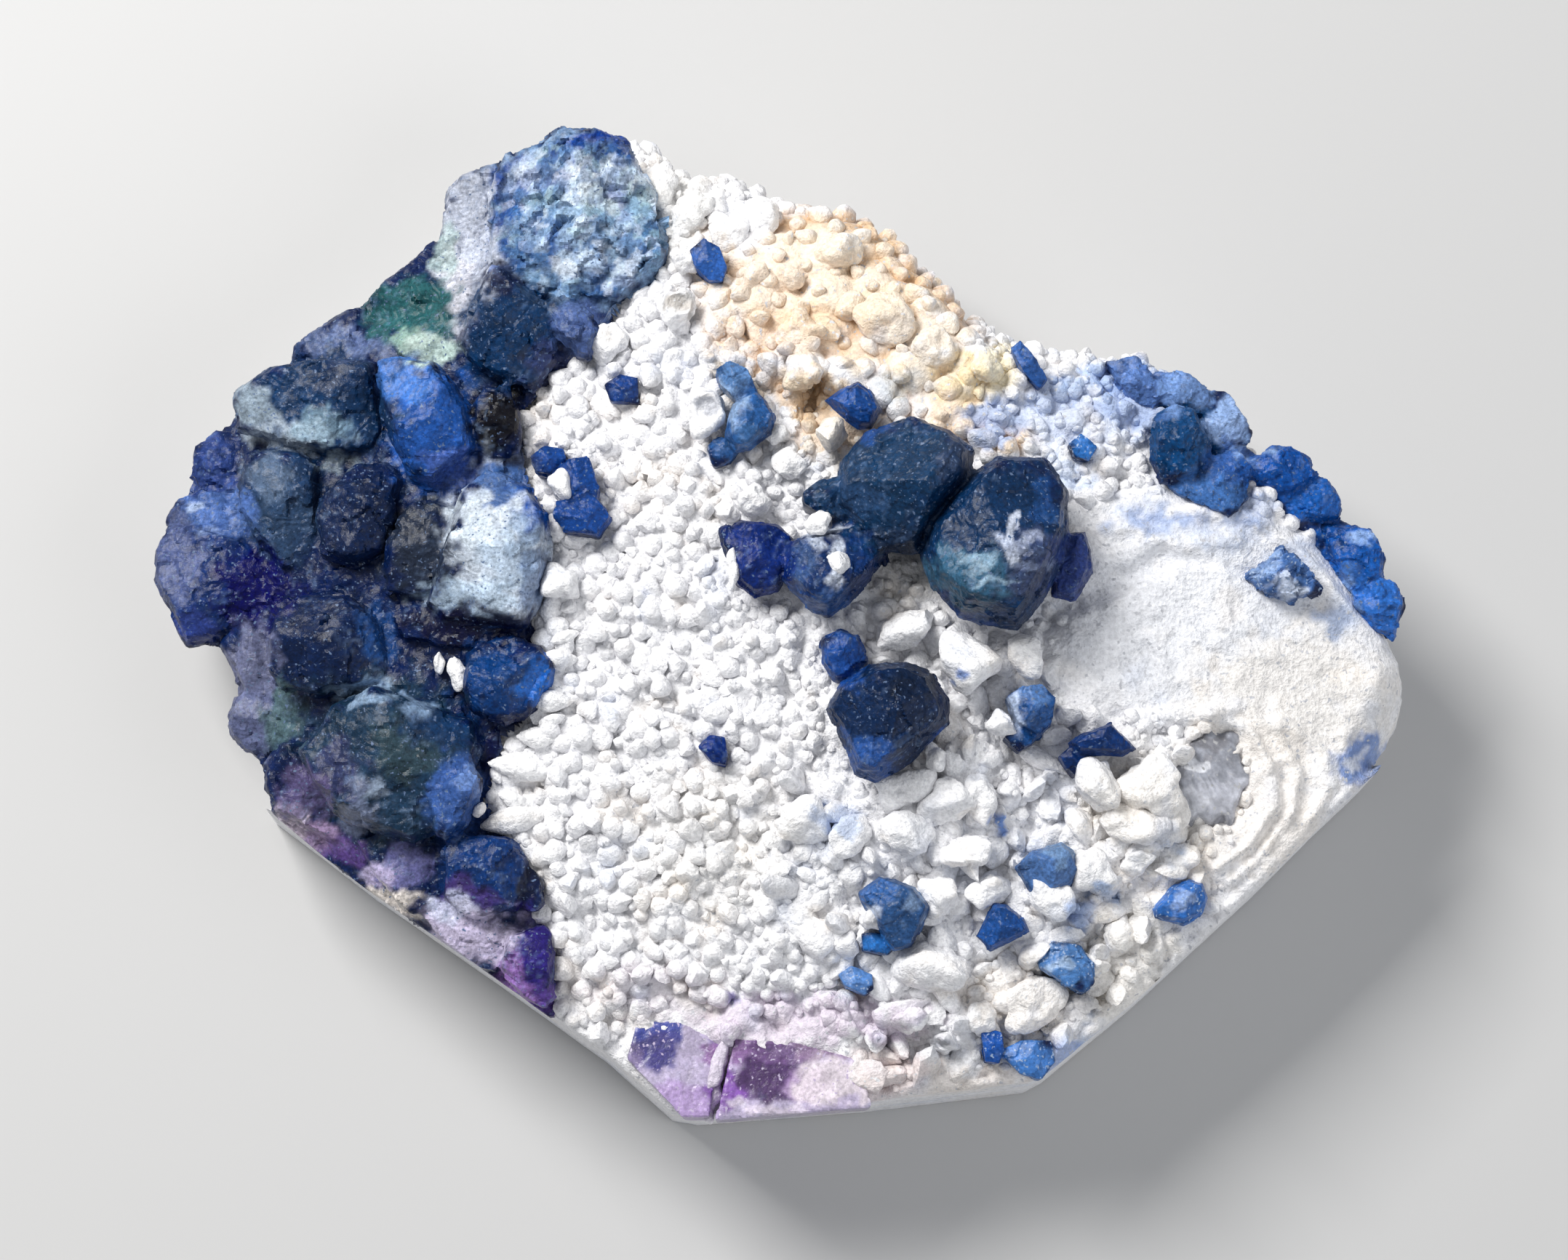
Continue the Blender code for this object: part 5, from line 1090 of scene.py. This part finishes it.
# Crystals: name of the piece, its solid, fineness in millimetres, share of the face relief, slot
CRYSTALS = [
    ("crust_of_dark_fluorite", "left_fluorite_crust", 0.178, 1.0, "fluorite"),
    ("centre_crystals", "centre_crystal_cluster", 0.136, 0.75, "fluorite"),
    ("lower_crystals", "lower_crystal_cluster", 0.12, 0.7, "fluorite"),
    ("upper_crystals", "upper_crystal_cluster", 0.10, 0.5, "fluorite"),
    ("upper_right_blue", "upper_right_crystal", 0.09, 0.45, "fluorite"),
    ("small_blue_in_druse", "druse_small_crystal", 0.07, 0.3, "fluorite"),
    ("right_blue_pair", "right_crystal_pair", 0.09, 0.5, "fluorite"),
    ("angular_blue_pair", "angular_crystal_pair", 0.09, 0.4, "fluorite"),
    ("triangular_blue", "triangular_crystal", 0.09, 0.45, "fluorite"),
    ("lower_blue_pair", "lower_crystal_pair", 0.09, 0.5, "fluorite"),
    ("small_lower_blue", "lower_small_crystal", 0.08, 0.4, "fluorite"),
    ("pale_blue", "pale_blue_crystal", 0.08, 0.5, "pale_fluorite"),
    ("round_blue_at_edge", "edge_round_crystal", 0.08, 0.35, "pale_fluorite"),
    ("small_pale_blue", "pale_blue_small_crystal", 0.07, 0.4, "pale_fluorite"),
    ("bottom_blue_pair", "bottom_crystal_pair", 0.08, 0.35, "pale_fluorite"),
    ("crust_of_right_rim", "right_rim_crust", 0.14, 0.7, "fluorite"),
    ("frosted_blue", "frosted_blue_crystal", 0.08, 0.8, "pale_fluorite"),
    ("small_right_blue", "right_small_crystal", 0.07, 0.3, "pale_fluorite"),
    ("top_edge_blue", "top_edge_crystal", 0.08, 0.5, "fluorite"),
    ("small_square_blue", "square_small_crystal", 0.07, 0.25, "fluorite"),
    ("blue_by_the_ring", "ring_crystal_cluster", 0.11, 0.6, "fluorite"),
    ("small_top_blue", "top_small_crystal", 0.07, 0.3, "fluorite"),
    ("left_violet_block", "violet_block_left", 0.13, 0.35, "violet_fluorite"),
    ("right_violet_block", "violet_block_right", 0.13, 0.35, "violet_fluorite"),
]


# Where the left half of the fine druse, which is coarser, ends in the picture
FINE_SPLIT = 1010


def open_top(middles, faces_up):
    """Share of the rock's open top: facing up and with no crystal over it."""
    facing = smooth_step(0.05, 0.25, faces_up) * (middles[:, 2] > 1.0)
    candidates = np.where(facing > 0.5)[0]
    share = facing.copy()
    share[candidates] *= ~covered_by_crystal(middles[candidates])
    pixels = shows_at(middles)
    margin = 0.7 + 0.6 * smooth_step(1150, 1400, pixels[:, 0])
    return share * (line_distance(middles, SAWN_LINE) > margin)


def druse_zones(rock):
    """Where each kind of druse grows: a share of each of the rock's faces, by kind."""
    mesh = bmesh.new()
    mesh.from_mesh(rock.data)
    middles = np.array([face.calc_center_median() for face in mesh.faces]) / MM
    uncovered = open_top(middles, np.array([face.normal.z for face in mesh.faces]))
    mesh.free()
    pixels = shows_at(middles)

    def inside(outline, drift):
        """How far each face lies in an outline whose rim wanders."""
        return inside_share(outline, pixels + drift[:, None], 10)

    drift = 14 * noise(middles, 1.5, 61)
    others = [inside(zone, drift) for zone in (CHALK, STAINED, VIOLET, BLOCKY)]
    fine = uncovered * (1 - np.maximum.reduce(others))
    left = pixels[:, 0] + drift < FINE_SPLIT
    drift = 14 * noise(middles, 1.5, 62)
    blocky = uncovered * inside(BLOCKY, drift) * (1 - inside(CHALK, drift))
    stained = uncovered * inside(STAINED, 12 * noise(middles, 1.5, 63))
    return {"fine left": fine * left, "fine right": fine * ~left, "fine": fine, "blocky": blocky,
            "stained": stained}


# Values for the grit of each look, then its bump in millimetres, subsurface, specular, coat and refraction
GRIT_INPUTS = ("Grain", "Speckle", "Roughness", "Spread", "Specks", "Speck Share", "Terraces")
LOOKS = {
    "quartz_rock": ((3600, 0.20, 0.8, 0.2, (0.55, 0.56, 0.60, 1), 0.05, 0), 0.22, 0.1, 0.5, 0, 1.45),
    "quartz_druse": ((3800, 0.24, 0.62, 0.4, (0.72, 0.73, 0.76, 1), 0.02, 0), 0.24, 0.2, 0.5, 0, 1.45),
    "dark_fluorite": ((5000, 0.5, 0.36, 0.3, (0.10, 0.15, 0.26, 1), 0.02, 0.8), 0.06, 0, 0.24, 0.06, 1.434),
    "pale_fluorite": ((5000, 0.4, 0.34, 0.3, (0.30, 0.40, 0.58, 1), 0.10, 0.6), 0.05, 0.1, 0.3, 0.06, 1.434),
    "violet_fluorite": ((4500, 0.35, 0.3, 0.3, (0.45, 0.38, 0.54, 1), 0.06, 0.2), 0.05, 0.15, 0.5, 0.3, 1.434),
    "grey_quartz": ((3400, 0.25, 0.30, 0.3, (0.45, 0.45, 0.46, 1), 0.05, 0), 0.04, 0.1, 0.5, 0.3, 1.45),
}
GRIT = grit_group()
MATERIALS = {name: stone_material(name, GRIT, *values) for name, values in LOOKS.items()}

# Pieces that are a crowd of tiny crystals more than one
CRUMBLED = {"frosted_blue": 0.7, "crust_of_right_rim": 0.35, "pale_blue": 0.5, "small_right_blue": 0.3}

# Kinds of druse grain: piece, zone, shape, then spacing, smallest and largest size in metres, tilt and seed
GRAINS = [
    ("fine_druse_left", "fine left", "fine", 0.00098, 0.00042, 0.00092, 0.8, 3),
    ("fine_druse_right", "fine right", "fine", 0.00085, 0.0003, 0.00072, 0.8, 4),
    ("crumbs_in_fine_druse", "fine", "fine", 0.0009, 0.0002, 0.00042, 1.0, 8),
    ("blocky_druse", "blocky", "block", 0.00135, 0.0006, 0.0012, 1.2, 5),
    ("crumbs_between_blocks", "blocky", "fine", 0.0007, 0.0002, 0.00042, 1.0, 6),
    ("stained_druse", "stained", "round", 0.00125, 0.0005, 0.00125, 1.2, 7),
]

WINDOW_BASE = 0x9699A3
WINDOW_PATCHES = [(1628, 1040, 20, 60, 0x686970, 0.9), (1652, 1022, 36, 14, 0x7A7A80, 0.8),
                  (1650, 1050, 14, 12, 0xE2E4EA, 0.8), (1690, 1100, 34, 34, 0xBEC0CA, 0.8),
                  (1640, 1110, 30, 18, 0xCED0D8, 0.7)]


def wear(piece, look):
    """Gives a piece one look."""
    piece.data.materials.clear()
    piece.data.materials.append(MATERIALS[look])


def add(piece):
    """Puts a finished piece on the specimen."""
    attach(piece, "root")


def add_crystals():
    """The fluorite, each piece in place of its solid."""
    for index, (name, solid, voxel, relief, wanted_slot) in enumerate(CRYSTALS):
        piece = crystal_piece(name, solid, voxel, relief, CRYSTAL_SEED + 10 * index, CRUMBLED.get(name, 0.0))
        if wanted_slot == "violet_fluorite":
            wear(piece, wanted_slot)
            paint(piece, VIOLET_BASE, VIOLET_PATCHES, CRYSTAL_PAINT, 0.2, sheen=0.01, flecks=0.4)
        else:
            wear(piece, "dark_fluorite" if wanted_slot == "fluorite" else wanted_slot)
            paint(piece, FLUORITE_BASE, FLUORITE_PATCHES, CRYSTAL_PAINT, 0.28, sheen=0.018, flecks=0.4)
        add(piece)


def add_quartz():
    """The rock in place of its solid, then its druse, lumps, points and grey window."""
    rock = make_rock()
    wear(rock, "quartz_rock")
    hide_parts("matrix")
    fine = [crystal_grain("fine", quartz_faces(i) if i % 2 else block_faces(i), i, unevenness=0.1)
            for i in range(8)]
    block = [crystal_grain("block", block_faces(i, 7), i, 3, (1, 0.8, 0.8), 0.035) for i in range(20, 26)]
    rounded = [crystal_grain("round", block_faces(i, 15), i, 3, (1, 0.9, 0.8), 0.03) for i in range(40, 46)]
    shelves = {"fine": shape_shelf("fine_shape", fine), "block": shape_shelf("block_shape", block),
               "round": shape_shelf("round_shape", rounded)}
    tree, zones = scatter_tree(), druse_zones(rock)
    for name, zone, shape, spacing, smallest, largest, tilt, seed in GRAINS:
        piece = grow_grains(tree, rock, name, zones[zone], shelves[shape], Spacing=spacing, Smallest=smallest,
                            Largest=largest, Tilt=tilt, Seed=seed)
        paint(piece, ROCK_BASE, ROCK_PATCHES, spots=0.05, tinge=0.3)
        add(piece)
    for shelf in shelves.values():
        for thing in list(shelf.objects):
            bpy.data.objects.remove(thing)
        bpy.data.collections.remove(shelf)
    lumps = joined("quartz_lumps", [lump_mesh(LUMP_SEED + index, *lump) for index, lump in enumerate(LUMPS)])
    for piece in (lumps, make_points()):
        paint(piece, LUMP_BASE, ROCK_PATCHES, spots=0.06, tinge=0.25)
        add(piece)
    window = make_window()
    wear(window, "grey_quartz")
    paint(window, WINDOW_BASE, WINDOW_PATCHES, WINDOW_PAINT, 0.35, edge=0.8)
    add(window)
    paint(rock, ROCK_BASE, ROCK_PATCHES, spots=0.05, tinge=0.2)
    add(rock)


def light(name, place, size, power, colour):
    """A soft square lamp that looks at the specimen."""
    data = bpy.data.lights.new(name, "AREA")
    data.size = size
    data.energy = power
    data.color = colour
    lamp = bpy.data.objects.new(name, data)
    bpy.context.scene.collection.objects.link(lamp)
    lamp.location = place
    lamp.rotation_euler = (Vector((0, 0, 0.01)) - Vector(place)).to_track_quat("-Z", "Y").to_euler()
    return lamp


def make_studio():
    """A pale floor, a soft key light from the upper left, a weak fill, and the camera of the picture."""
    mesh = bmesh.new()
    bmesh.ops.create_grid(mesh, x_segments=1, y_segments=1, size=1.5)
    floor = shown("floor", finished(mesh, "floor"))
    paper = bpy.data.materials.new("floor_paper")
    paper.use_nodes = True
    shader = paper.node_tree.nodes["Principled BSDF"]
    shader.inputs["Base Color"].default_value = (0.56, 0.56, 0.56, 1.0)
    shader.inputs["Roughness"].default_value = 0.9
    floor.data.materials.append(paper)
    light("key", (-0.16, 0.17, 0.26), 0.14, 1.45, (1.0, 0.985, 0.96))
    light("fill", (0.24, -0.12, 0.22), 0.20, 0.25, (0.95, 0.97, 1.0))
    world = bpy.data.worlds.new("studio")
    world.use_nodes = True
    world.node_tree.nodes["Background"].inputs["Color"].default_value = (0.95, 0.97, 1.0, 1.0)
    world.node_tree.nodes["Background"].inputs["Strength"].default_value = 0.37
    bpy.context.scene.world = world
    camera = bpy.data.cameras.new("camera")
    camera.sensor_width = 36.0
    camera.lens = 36.0 * VIEW_DISTANCE / (PIXEL * PICTURE_SIZE[0])
    camera.shift_x = (PICTURE_SIZE[0] / 2 - PICTURE_MIDDLE[0]) / PICTURE_SIZE[0]
    camera.shift_y = (PICTURE_MIDDLE[1] - PICTURE_SIZE[1] / 2) / PICTURE_SIZE[0]
    camera.clip_start = 0.001
    eye = bpy.data.objects.new("camera", camera)
    bpy.context.scene.collection.objects.link(eye)
    away = Vector((0, -math.sin(VIEW_TILT), math.cos(VIEW_TILT))) * VIEW_DISTANCE
    eye.location = (Vector((*ORIGIN_SHIFT, VIEW_HEIGHT)) + away) * MM
    eye.rotation_euler = (VIEW_TILT, 0, 0)
    bpy.context.scene.camera = eye


add_crystals()
add_quartz()
make_studio()
bpy.context.scene.view_settings.view_transform = "Standard"
